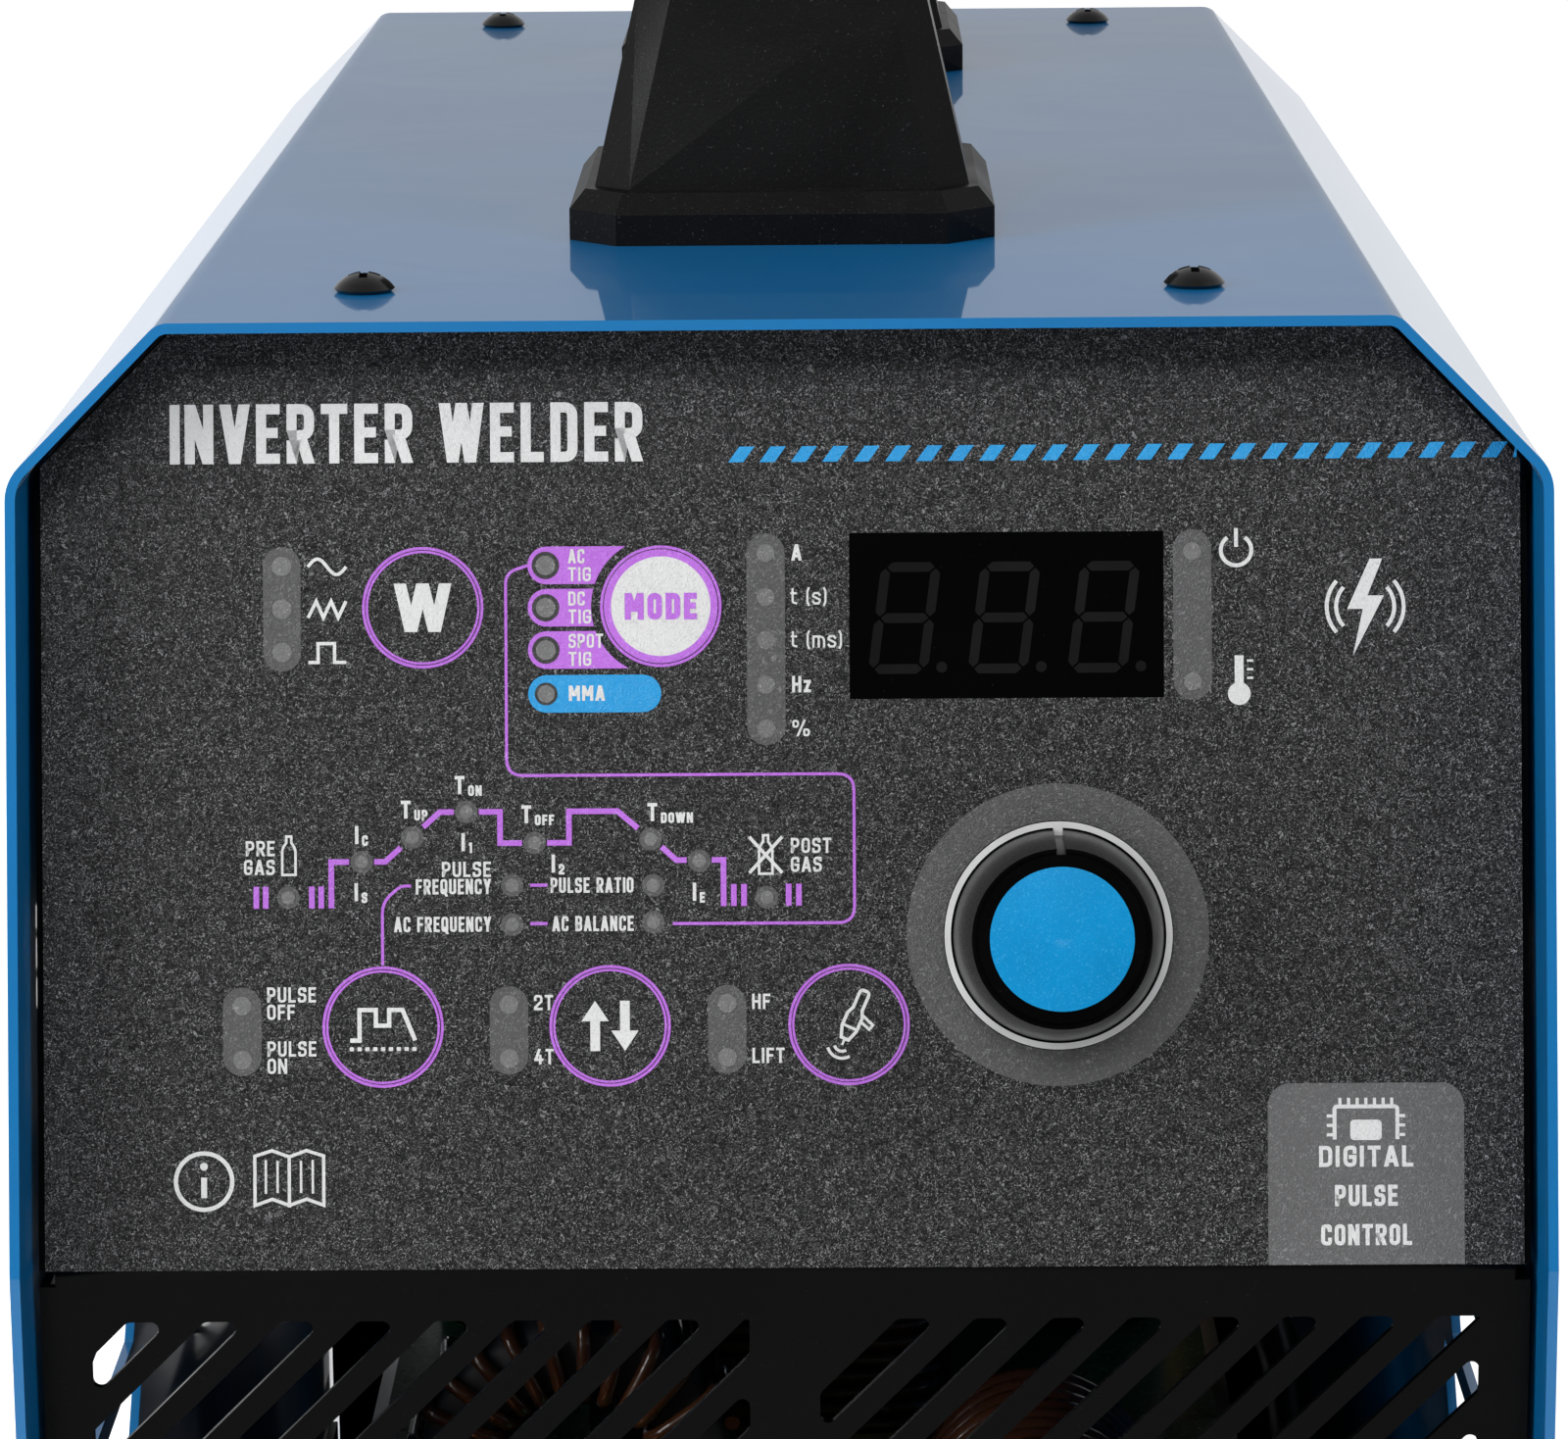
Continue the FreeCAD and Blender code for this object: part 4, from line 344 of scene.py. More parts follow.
class Printing:
    """Flat shapes in one ink on the sloping face, in millimetres.  Shapes drawn one after another lie in
    different layers, a hair apart."""

    LAYERS, LAYER_STEP, FILM = 5, 0.0025, 0.02

    def __init__(self):
        self.points, self.faces, self.layer = [], [], 0

    def area(self, outline, holes=()):
        loops = [[Vector((p[0], p[1], 0)) for p in loop] for loop in (outline, *holes)]
        base = len(self.points)
        self.layer = (self.layer + 1) % self.LAYERS
        for loop in loops:
            self.points += [(p.x, p.y, self.layer * self.LAYER_STEP) for p in loop]
        flat = self.points[base:]
        for a, b, c in tessellate_polygon(loops):
            turn = ((flat[b][0] - flat[a][0]) * (flat[c][1] - flat[a][1])
                    - (flat[b][1] - flat[a][1]) * (flat[c][0] - flat[a][0]))
            if abs(turn) > 1e-9:
                corners = (a, b, c) if turn > 0 else (a, c, b)
                self.faces.append(tuple(base + i for i in corners))

    def line(self, points, width, closed=False, radius=0.0, cap=False):
        path = softened(points, closed, radius)
        if cap and not closed:
            path[0] = path[0] + (path[0] - path[1]).normalized() * width / 2
            path[-1] = path[-1] + (path[-1] - path[-2]).normalized() * width / 2
        left, right = rails(path, width / 2, closed)
        if closed:
            outer, inner = (left, right) if span(left) > span(right) else (right, left)
            self.area(outer, (inner,))
        else:
            self.area(left + right[::-1])

    def disc(self, u, v, radius, sides=48):
        self.area(circle(u, v, radius, sides))

    def ring(self, u, v, radius, width, sides=96):
        self.area(circle(u, v, radius + width / 2, sides), (circle(u, v, radius - width / 2, sides),))

    def pill(self, u, v, width, height, radius=None):
        self.area(pill(u, v, width, height, radius))

    def text(self, words, u, v, height, width=None, align="left", weight=0.165, cell=0.56):
        stroke, gap = weight * height, 0.14 * height
        spans = []
        for letter in words:
            factor = 0.5 if letter == " " else GLYPHS[letter][0]
            spans.append(stroke if factor == 0 else max(stroke * 1.6, factor * cell * height))
        natural = sum(spans) + gap * (len(words) - 1)
        squeeze = width / natural if width else 1.0
        total = natural * squeeze
        x = u - {"left": 0.0, "centre": total / 2, "right": total}[align]
        for letter, room in zip(words, spans):
            wide = room if room == stroke else room * squeeze
            if letter != " ":
                self.glyph(letter, x, v, wide, height, stroke)
            x += room * squeeze + gap * squeeze

    def glyph(self, letter, x, y, wide, high, stroke):
        half = stroke / 2
        for part in GLYPHS[letter][1]:
            if isinstance(part, tuple):
                x0, y0, x1, y1 = part
                a, b = x + half + x0 * (wide - stroke), x + half + x1 * (wide - stroke)
                c, d = y + y0 * high, y + y1 * high
                limb = half * 1.14
                self.area([(a - limb, c), (a + limb, c), (b + limb, d), (b - limb, d)])
            else:
                path = [(x + half + p[0] * (wide - stroke), y + half + p[1] * (high - stroke),
                         0.42 * wide if len(p) > 2 else 0.0) for p in part]
                if part[0] == part[-1]:
                    self.line(path[:-1], stroke, closed=True)
                else:
                    self.line(path, stroke, cap=True)

    def make(self, name, material, lift, body="case", slot="overlay"):
        mesh = bpy.data.meshes.new(name)
        mesh.from_pydata([on_face(u, v, lift + layer) for u, v, layer in self.points], [], self.faces)
        mesh.materials.append(material)
        piece = bpy.data.objects.new(name, mesh)
        bpy.context.scene.collection.objects.link(piece)
        film = piece.modifiers.new("ink_film", "SOLIDIFY")
        film.thickness = self.FILM * MM
        film.offset = 1.0
        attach(piece, body)
        return piece


def span(loop):
    return max(p.x for p in loop) - min(p.x for p in loop)


def arc(u, v, radius, start, end, steps=24):
    angles = [math.radians(start + (end - start) * i / steps) for i in range(steps + 1)]
    return [(u + radius * math.cos(a), v + radius * math.sin(a)) for a in angles]


def circle(u, v, radius, sides=48):
    return arc(u, v, radius, 0.0, 360.0, sides)[:-1]


def pill(u, v, width, height, radius=None):
    r = min(width, height) / 2 if radius is None else radius
    half_u, half_v = width / 2 - r, height / 2 - r
    out = []
    for side_u, side_v, start in ((1, 1, 0), (-1, 1, 90), (-1, -1, 180), (1, -1, 270)):
        out += arc(u + side_u * half_u, v + side_v * half_v, r, start, start + 90, 10)
    return out


pale_ink = ink("ink_pale", (0.56, 0.56, 0.56), (0.64, 0.64, 0.64), 0.42, (0.46, 0.46, 0.47))
purple_ink = ink("ink_purple", (0.36, 0.095, 0.54), (0.43, 0.12, 0.63), 0.42, (0.50, 0.22, 0.70))
azure_ink = ink("ink_azure", (0.0, 0.23, 0.54), (0.0, 0.27, 0.60), 0.42, (0.04, 0.34, 0.66))
grey_ink = ink("ink_grey", (0.050, 0.050, 0.051), (0.060, 0.060, 0.061), 0.42, (0.17, 0.17, 0.175))
badge_ink = ink("ink_badge", (0.075, 0.075, 0.076), (0.092, 0.092, 0.094), 0.42, (0.20, 0.20, 0.205))
lamp_ink = ink("ink_lamp", (0.10, 0.10, 0.10), (0.135, 0.135, 0.135), 0.38, (0.24, 0.24, 0.24))
black_ink = ink("ink_black", (0.010, 0.010, 0.011), (0.015, 0.015, 0.016), 0.42, (0.06, 0.06, 0.06))

grey, badge, lamps, pale, purple, azure, dark = (Printing() for _ in range(7))

# title and dashed stripe
pale.text("INVERTER WELDER", -77.8, 103.0, 7.6, width=60.4, weight=0.17)
stripe_low, stripe_high, stripe_end = 102.8, 104.8, 94.0
stripe_start, dash_pitch, dash_width, dash_lean = -6.5, 4.0, 1.94, 1.45
for step in range(math.ceil((stripe_end - stripe_start) / dash_pitch)):
    left = stripe_start + dash_pitch * step
    slant = [(left, stripe_low), (left + dash_width, stripe_low),
             (left + dash_width + dash_lean, stripe_high), (left + dash_lean, stripe_high)]
    azure.area([(min(u, stripe_end), v) for u, v in slant])

# waveform selection
grey.pill(-63.6, 84.4, 4.8, 15.9)
for v in (78.9, 84.4, 89.9):
    lamps.disc(-63.6, v, 1.25)
pale.line([(-60.25 + 4.9 * i / 20, 89.8 + 1.0 * math.sin(2 * math.pi * i / 20)) for i in range(21)], 0.42)
pale.line([(-60.25, 83.3), (-59.2, 85.4), (-58.3, 83.3), (-57.3, 85.4), (-56.4, 83.3), (-55.4, 85.4)], 0.42)
pale.line([(-60.25, 77.6), (-59.0, 77.6), (-59.0, 80.0), (-56.9, 80.0), (-56.9, 77.6), (-55.4, 77.6)], 0.42)

# each key's ring is printed partly on the key and partly round it
RING_INNER, KEY_EDGE, OVERLAY_EDGE, RING_OUTER = 6.98, 7.27, 7.38, 7.75
for u, v in KEYS.values():
    purple.ring(u, v, (OVERLAY_EDGE + RING_OUTER) / 2, RING_OUTER - OVERLAY_EDGE)

# process tabs beside the mode key
tab_left, key_room = -32.2, 8.9
key_u, key_v = KEYS["mode"]
for v, words in ((89.8, ("AC", "TIG")), (84.4, ("DC", "TIG")), (79.0, ("SPOT", "TIG"))):
    half = 2.4
    edge = []
    for step in range(13):
        y = v + half - 2 * half * step / 12
        edge.append((key_u - math.sqrt(max(0.0, key_room ** 2 - (y - key_v) ** 2)), y))
    outline = edge + arc(tab_left + half, v, half, 270, 90, 16)
    purple.area(outline)
    dark.disc(-29.9, v, 1.75)
    lamps.disc(-29.9, v, 1.25)
    pale.text(words[0], -27.0, v + 0.25, 1.8, width=1.15 * len(words[0]) - 0.2, weight=0.16)
    pale.text(words[1], -27.0, v - 2.05, 1.8, width=2.9, weight=0.16)
azure.pill(-23.7, 73.4, 17.0, 4.8)
dark.disc(-29.9, 73.4, 1.45)
lamps.disc(-29.9, 73.4, 1.1)
pale.text("MMA", -27.0, 72.5, 1.95, weight=0.2)
purple.line([(-32.2, 89.8), (-35.0, 88.9, 2.4), (-35.0, 63.0, 2.1), (9.3, 63.0, 2.1), (9.3, 44.0, 2.1),
             (-13.9, 44.0)], 0.38)

# units, status lamps and display surround
grey.pill(-1.8, 80.2, 4.9, 27.0)
for v, words in ((91.2, "A"), (85.6, "t (s)"), (80.1, "t (ms)"), (74.4, "Hz"), (68.8, "%")):
    lamps.disc(-1.8, v, 1.15)
    pale.text(words, 1.5, v - 1.0, 2.1, weight=0.13 if words[0] in "t%" else 0.18)
grey.pill(52.6, 83.0, 4.9, 21.75)
for v in (91.1, 74.5):
    lamps.disc(52.6, v, 1.15)
pale.line(arc(58.2, 91.2, 1.95, 125, 415), 0.5)
pale.line([(58.2, 91.6), (58.2, 94.0)], 0.5)
pale.disc(58.5, 72.9, 1.45)
pale.line([(58.5, 73.2), (58.5, 77.2)], 1.15, cap=True)
pale.line([(59.5, 74.9), (60.3, 74.9)], 0.3)
pale.line([(59.5, 76.0), (60.3, 76.0)], 0.3)
pale.line([(59.5, 77.1), (60.3, 77.1)], 0.3)

# generic arc mark in place of the badge at the right
pale.area([(75.2, 90.0), (72.3, 83.6), (74.3, 83.6), (73.0, 77.6), (77.0, 85.3), (74.9, 85.3), (76.8, 90.0)])
for side in (0, 180):
    for radius in (3.7, 4.9):
        pale.line(arc(74.6, 83.9, radius, side - 42, side + 42, 16), 0.5)

# knob disc
grey.disc(*KNOB_PLACE, 19.3, 128)

# weld sequence diagram
trace = 0.72
for u in (-67.1, -65.9, -60.0, -58.8, -6.1, -4.8, 0.9, 2.2):
    purple.line([(u, 46.2), (u, 49.0)], 0.72)
purple.line([(-57.5, 46.2), (-57.5, 52.1), (-55.2, 52.1)], trace)
purple.line([(-52.0, 52.1), (-50.6, 52.1), (-48.6, 53.9)], trace)
purple.line([(-45.7, 56.5), (-43.6, 58.4), (-41.8, 58.4)], trace)
purple.line([(-38.6, 58.4), (-35.9, 58.4), (-35.9, 54.4), (-33.1, 54.4)], trace)
purple.line([(-29.9, 54.4), (-27.1, 54.4), (-27.1, 58.4), (-20.9, 58.4), (-18.3, 56.2)], trace)
purple.line([(-15.3, 53.8), (-13.4, 52.1), (-12.1, 52.1)], trace)
purple.line([(-8.9, 52.1), (-7.4, 52.1), (-7.4, 46.2)], trace)
for u, v in ((-63.0, 47.6), (-53.6, 52.1), (-47.1, 55.2), (-40.2, 58.4), (-31.5, 54.4), (-16.7, 54.8),
             (-10.5, 52.0), (-1.9, 47.3), (-34.4, 49.0), (-16.4, 48.9), (-34.4, 44.0), (-16.4, 44.2)):
    grey.disc(u, v, 1.44)
    lamps.disc(u, v, 0.85)
purple.line([(-51.0, 38.9), (-51.0, 47.0, 2.4), (-48.6, 49.0), (-47.3, 49.0)], 0.38, radius=1.6)
purple.line([(-32.1, 49.0), (-29.9, 49.0)], 0.4)
purple.line([(-32.1, 44.1), (-29.9, 44.1)], 0.4)
small = 1.95
pale.text("PRE", -64.7, 52.9, small, align="right")
pale.text("GAS", -64.7, 50.5, small, align="right")
pale.text("POST", 1.2, 52.9, small)
pale.text("GAS", 1.2, 50.5, small)


def bottle(u, v):
    pale.line([(u - 0.85, v - 2.4), (u - 0.85, v + 0.9, 0.7), (u - 0.32, v + 1.7), (u - 0.32, v + 2.5),
               (u + 0.32, v + 2.5), (u + 0.32, v + 1.7), (u + 0.85, v + 0.9, 0.7), (u + 0.85, v - 2.4)], 0.32,
              closed=True)


bottle(-62.9, 52.9)
bottle(-2.0, 52.7)
pale.line([(-4.1, 50.4), (0.1, 55.0)], 0.42)
pale.line([(-4.1, 55.0), (0.1, 50.4)], 0.42)


def symbol(big, little, u, v):
    """A quantity's letter with its index a little lower."""
    pale.text(big, u, v, 2.3, align="right", weight=0.19)
    pale.text(little, u + 0.45, v - 0.25, 1.35, weight=0.22)


symbol("I", "C", -54.0, 54.4)
symbol("I", "S", -54.1, 47.1)
symbol("T", "UP", -47.3, 57.6)
symbol("T", "ON", -40.4, 60.7)
symbol("I", "1", -40.4, 53.4)
symbol("T", "OFF", -31.9, 56.9)
symbol("I", "2", -28.9, 50.6)
symbol("T", "DOWN", -15.8, 57.1)
symbol("I", "E", -10.9, 46.9)
pale.text("PULSE", -37.1, 50.1, small, align="right")
pale.text("FREQUENCY", -37.1, 47.9, small, width=9.6, align="right")
pale.text("AC FREQUENCY", -37.1, 43.1, small, width=12.4, align="right")
pale.text("PULSE RATIO", -29.5, 48.0, small, width=10.6)
pale.text("AC BALANCE", -29.3, 43.1, small, width=10.4)

# lower row
for u, words in ((-69.0, (("PULSE", "OFF"), ("PULSE", "ON"))), (-34.9, (("2T",), ("4T",))),
                 (-7.05, (("HF",), ("LIFT",)))):
    grey.pill(u, 30.5, 4.9, 11.3)
    for v, legend in ((34.0, words[0]), (27.1, words[1])):
        lamps.disc(u, v - 0.2, 1.2)
        top = v + (0.2 if len(legend) == 2 else -0.95)
        for row, word in enumerate(legend):
            pale.text(word, u + 3.2, top - 2.2 * row, 1.95)

# plain information marks at the lower left
pale.ring(-74.0, 11.4, 3.6, 0.55, 64)
pale.line([(-74.0, 9.3), (-74.0, 11.9)], 0.75)
pale.disc(-74.0, 13.3, 0.5, 20)
for side in (-1, 1):
    pale.line([(-63.1, 8.3), (-63.1 + side * 2.2, 9.1), (-63.1 + side * 4.4, 8.3), (-63.1 + side * 4.4, 14.6),
               (-63.1 + side * 2.2, 15.3), (-63.1, 14.5)], 0.42, closed=True)
    pale.line([(-63.1 + side * 1.5, 9.9), (-63.1 + side * 1.5, 14.0)], 0.3)
    pale.line([(-63.1 + side * 3.0, 9.8), (-63.1 + side * 3.0, 14.1)], 0.3)

# grey plate with a chip symbol at the lower right
plate_left, plate_right, plate_top, plate_round = 61.8, 86.8, 23.2, 2.9
badge.area([(plate_left, 0.05), (plate_right, 0.05)]
           + arc(plate_right - plate_round, plate_top - plate_round, plate_round, 0, 90, 12)
           + arc(plate_left + plate_round, plate_top - plate_round, plate_round, 90, 180, 12))
chip_u = 74.3
pale.line([(chip_u - 4.0, 16.0), (chip_u - 4.0, 20.2, 0.4), (chip_u + 4.0, 20.2, 0.4), (chip_u + 4.0, 16.0)],
          0.5)
pale.pill(chip_u, 17.2, 4.0, 2.6, 0.5)
for step in range(7):
    pale.line([(chip_u - 3.3 + 1.1 * step, 20.3), (chip_u - 3.3 + 1.1 * step, 21.3)], 0.4)
for step in range(3):
    for side in (-1, 1):
        pale.line([(chip_u + side * 4.1, 16.6 + 1.2 * step), (chip_u + side * 5.0, 16.6 + 1.2 * step)], 0.4)
pale.text("DIGITAL", chip_u, 12.5, 2.7, width=12.0, align="centre", weight=0.19)
pale.text("PULSE", chip_u, 7.5, 2.7, width=8.0, align="centre", weight=0.19)
pale.text("CONTROL", chip_u, 2.5, 2.7, width=11.6, align="centre", weight=0.19)

grey.make("print_grey", grey_ink, OVERLAY_TOP + 0.01)
badge.make("print_badge", badge_ink, OVERLAY_TOP + 0.01)
purple.make("print_purple", purple_ink, OVERLAY_TOP + 0.03)
azure.make("print_azure", azure_ink, OVERLAY_TOP + 0.03)
dark.make("print_dark", black_ink, OVERLAY_TOP + 0.055)
pale.make("print_pale", pale_ink, OVERLAY_TOP + 0.06)
lamps.make("print_lamps", lamp_ink, OVERLAY_TOP + 0.08)

# printing on the keys, which moves with them
key_w, key_mode, key_text, key_pulse, key_arrows, key_torch = (Printing() for _ in range(6))
MODE_DISC = 6.35
key_w.text("W", KEYS["waveform"][0], 81.4, 6.2, width=7.2, align="centre", weight=0.225)
key_mode.disc(*KEYS["mode"], MODE_DISC, 96)
key_text.text("MODE", KEYS["mode"][0], 82.8, 3.4, width=9.2, align="centre", weight=0.23)
key_pulse.line([(-55.2, 29.3), (-54.0, 29.3), (-54.0, 33.2), (-51.9, 33.2), (-51.9, 31.2), (-50.2, 31.2),
                (-50.2, 33.2), (-48.5, 33.2), (-46.9, 29.3)], 0.55)
for step in range(9):
    key_pulse.pill(-55.0 + 1.0 * step, 28.2, 0.55, 0.5, 0.1)
for u, way in ((-23.9, 1), (-20.1, -1)):
    key_arrows.area([(u - 0.62, 31.0 - way * 3.2), (u + 0.62, 31.0 - way * 3.2), (u + 0.62, 31.0 + way * 0.6),
                     (u + 1.75, 31.0 + way * 0.6), (u, 31.0 + way * 3.2), (u - 1.75, 31.0 + way * 0.6),
                     (u - 0.62, 31.0 + way * 0.6)][::way])


def leaning(points, u, v, degrees):
    c, s = math.cos(math.radians(degrees)), math.sin(math.radians(degrees))
    return [(u + c * p[0] - s * p[1], v + s * p[0] + c * p[1], *p[2:]) for p in points]


torch_u, torch_v, torch_lean = 9.0, 31.6, -24.0
torch_outline = [(-0.5, -2.6), (-1.0, -1.2), (-1.0, 0.6), (-0.62, 1.5), (-0.62, 4.0, 0.5), (0.62, 4.0, 0.5),
                 (0.62, 1.5), (1.0, 0.6), (1.0, -1.2), (0.5, -2.6)]
torch_collar = [(-1.0, -1.0), (1.0, -1.0)]
torch_trigger = [(0.9, 0.2), (2.4, -0.3), (2.6, 0.4), (0.9, 1.0)]
torch_needle = [(0.0, -2.6), (0.0, -3.5)]
for points, width, closed in ((torch_outline, 0.42, True), (torch_collar, 0.35, False),
                              (torch_trigger, 0.35, False), (torch_needle, 0.3, False)):
    key_torch.line(leaning(points, torch_u, torch_v, torch_lean), width, closed=closed)
for radius in (1.0, 1.9):
    key_torch.line(arc(7.6, 28.6, radius, 195, 300, 10), 0.38)

for key, (u, v) in KEYS.items():
    inner = MODE_DISC if key == "mode" else RING_INNER
    key_edge = Printing()
    key_edge.ring(u, v, (inner + KEY_EDGE) / 2, KEY_EDGE - inner)
    key_edge.make("key_" + key + "_ring", purple_ink, KEY_TOP + 0.01, "button_" + key)
key_w.make("key_waveform_print", pale_ink, KEY_TOP + 0.01, "button_waveform")
key_mode.make("key_mode_disc", pale_ink, KEY_TOP + 0.01, "button_mode")
key_text.make("key_mode_print", purple_ink, KEY_TOP + 0.05, "button_mode")
key_pulse.make("key_pulse_print", pale_ink, KEY_TOP + 0.01, "button_pulse")
key_arrows.make("key_trigger_print", pale_ink, KEY_TOP + 0.01, "button_trigger")
key_torch.make("key_ignition_print", pale_ink, KEY_TOP + 0.01, "button_ignition")

# unlit seven-segment digits behind the smoked window
segment_dim = surface("segment_dim", (0.006, 0.006, 0.006), (0.009, 0.009, 0.009), 0.22, 0.04, 60.0,
                      spec=0.08, bumps=((900.0, 0.004, 0.1, 0.0),))
digits = Printing()
slope = math.tan(math.radians(7.5))
segment_half, segment_gap = 0.62, 0.18


def segment(u0, v0, u1, v1, centre, middle):
    """One bar of a digit, with pointed ends, slanted with the digit."""
    along = Vector((u1 - u0, v1 - v0)).normalized()
    across = Vector((-along.y, along.x)) * segment_half
    point = along * segment_half
    a, b = Vector((u0, v0)) + along * segment_gap, Vector((u1, v1)) - along * segment_gap
    bar = [a, a + point + across, b - point + across, b, b - point - across, a + point - across]
    digits.area([(centre + p.x + slope * p.y, middle + p.y) for p in bar][::-1])


for centre in (15.9, 28.6, 41.3):
    wide, high, middle = 3.2, 6.5, 82.8
    for v in (-high, 0, high):
        segment(-wide, v, wide, v, centre, middle)
    for u in (-wide, wide):
        segment(u, -high, u, 0, centre, middle)
        segment(u, 0, u, high, centre, middle)
    digits.disc(centre + 4.7, 76.5, 0.7, 20)
digits.make("display_digits", segment_dim, OVERLAY_TOP + 0.01, slot="window")


# ------------------------------------------------------------------ wires, turns and other swept pieces
def swept(path, radius, closed, sides=10):
    """A round wire along a path: its points and faces, with closed ends."""
    count = len(path)
    tangents = []
    for i in range(count):
        ahead = path[(i + 1) % count] if closed or i < count - 1 else path[i]
        behind = path[i - 1] if closed or i > 0 else path[i]
        tangents.append((ahead - behind).normalized())
    side = tangents[0].orthogonal().normalized()
    sides_at = []
    for tangent in tangents:
        side = (side - tangent * side.dot(tangent)).normalized()
        sides_at.append(side.copy())
    points, faces = [], []
    for here, tangent, side in zip(path, tangents, sides_at):
        other = tangent.cross(side)
        for step in range(sides):
            a = 2 * math.pi * step / sides
            points.append(here + (side * math.cos(a) + other * math.sin(a)) * radius)
    for i in range(count if closed else count - 1):
        j = (i + 1) % count
        for step in range(sides):
            after = (step + 1) % sides
            faces.append((i * sides + step, j * sides + step, j * sides + after, i * sides + after)[::-1])
    if not closed:
        faces.append(tuple(range(sides)))
        faces.append(tuple(reversed(range((count - 1) * sides, count * sides))))
    return points, faces


def revolved(profile, centre, axis, start, sides=48):
    """A closed section turned about an axis: profile is (radius, distance along the axis)."""
    other = axis.cross(start)
    points, faces = [], []
    for step in range(sides):
        a = 2 * math.pi * step / sides
        ray = start * math.cos(a) + other * math.sin(a)
        points += [centre + ray * r + axis * z for r, z in profile]
    n = len(profile)
    for step in range(sides):
        after = (step + 1) % sides
        for i in range(n):
            j = (i + 1) % n
            faces.append((step * n + i, after * n + i, after * n + j, step * n + j))
    return points, faces


def solid(name, parts, material, body, smooth=True):
    points, faces = [], []
    for more_points, more_faces in parts:
        base = len(points)
        points += more_points
        faces += [tuple(base + i for i in face) for face in more_faces]
    mesh = bpy.data.meshes.new(name)
    mesh.from_pydata(points, [], faces)
    mesh.validate()
    if smooth:
        mesh.polygons.foreach_set("use_smooth", [len(p.vertices) == 4 for p in mesh.polygons])
    mesh.materials.append(material)
    piece = bpy.data.objects.new(name, mesh)
    bpy.context.scene.collection.objects.link(piece)
    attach(piece, body)
    return piece


X, Y, Z = Vector((1, 0, 0)), Vector((0, 1, 0)), Vector((0, 0, 1))
SLACK = 0.98    # a wire's radius as a share of the room it is given

# the fan's wire guard: round rings, four round spokes and flattened eyes round the screws
low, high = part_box("fan_guard")
guard_centre = (low + high) / 2
wire_radius = 1.0 * MM
wire_y = high.y - wire_radius
ring_pitch, ring_count, hole_reach = 8 * MM, 7, 52.5 * MM
outer_ring = (high.x - low.x) / 2 - wire_radius
inner_ring = outer_ring - ring_pitch * (ring_count - 1)
ring_steps, wire_sides, spoke_steps, spoke_end = 96, 12, 12, 4.6
eye_profile = [(2.15 * MM, 0), (5.0 * MM, 0), (5.0 * MM, 1.7 * MM), (4.6 * MM, 2.1 * MM), (2.6 * MM, 2.1 * MM),
               (2.15 * MM, 1.7 * MM)]
rings = []
for step in range(ring_count):
    r = outer_ring - ring_pitch * step
    angles = [2 * math.pi * i / ring_steps for i in range(ring_steps)]
    rings.append(swept([Vector((guard_centre.x + r * math.cos(a), wire_y, guard_centre.z + r * math.sin(a)))
                        for a in angles], wire_radius, True, wire_sides))
for sx in (-1, 1):
    for sz in (-1, 1):
        eye = Vector((guard_centre.x + sx * hole_reach, 0, guard_centre.z + sz * hole_reach))
        outward = Vector((sx, 0, sz)).normalized()
        inner = Vector((guard_centre.x, wire_y, guard_centre.z)) + outward * inner_ring
        outer = Vector((eye.x, wire_y, eye.z)) - outward * spoke_end * MM
        spoke = [inner.lerp(outer, i / spoke_steps) for i in range(spoke_steps + 1)]
        rings.append(swept(spoke, wire_radius * SLACK, False, wire_sides))
        rings.append(revolved(eye_profile, Vector((eye.x, low.y + 0.05 * MM, eye.z)), Y, X, 32))
guard = solid("fan_guard_wires", rings, finishes["black_sheet"], "case")
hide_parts("fan_guard")


def wound_round(section, turns, advance, steps):
    """Points of a winding: section(t) is the wire's place on one turn, advance moves it along the coil."""
    path = []
    for i in range(turns * steps + 1):
        path.append(advance(section((i % steps) / steps), i / (turns * steps)))
    return path


def rounded_box(half_x, half_y, radius, t):
    """A point on a rounded rectangle's outline, t from 0 to 1, evenly by length."""
    sx, sy = 2 * (half_x - radius), 2 * (half_y - radius)
    bend = math.pi * radius / 2
    distance = t * (2 * sx + 2 * sy + 4 * bend)
    corner = ((half_x, -half_y + radius, 0), (half_x - radius, half_y, 90), (-half_x, half_y - radius, 180),
              (-half_x + radius, -half_y, 270))
    straight = (sy, sx, sy, sx)
    for (x, y, turned), run in zip(corner, straight):
        direction = math.radians(turned + 90)
        if distance <= run:
            return x + distance * math.cos(direction), y + distance * math.sin(direction)
        distance -= run
        end_x, end_y = x + run * math.cos(direction), y + run * math.sin(direction)
        if distance <= bend:
            cx = end_x - radius * math.cos(math.radians(turned))
            cy = end_y - radius * math.sin(math.radians(turned))
            a = math.radians(turned) + distance / radius
            return cx + radius * math.cos(a), cy + radius * math.sin(a)
        distance -= bend
    return half_x, -half_y + radius


# the output choke: a ring core under heavy enamelled turns
low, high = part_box("output_choke")
choke_centre = (low + high) / 2
choke_outer, choke_half, choke_inner = (high.x - low.x) / 2, (high.y - low.y) / 2, 12 * MM
strand = 1.25 * MM
core_outer, core_inner = choke_outer - 2 * strand, choke_inner + 2 * strand
core_half = choke_half - 2 * strand
core = revolved([(core_inner, -core_half + MM), (core_inner + MM, -core_half), (core_outer - MM, -core_half),
                 (core_outer, -core_half + MM), (core_outer, core_half - MM), (core_outer - MM, core_half),
                 (core_inner + MM, core_half), (core_inner, core_half - MM)], choke_centre, Y, X, 64)
turn_middle = (core_outer + core_inner) / 2
turn_half = (core_outer - core_inner) / 2 + strand
choke_start, choke_sweep, choke_corner = 20, 320, 2.2 * MM
choke_turn_count, choke_steps = 24, 32


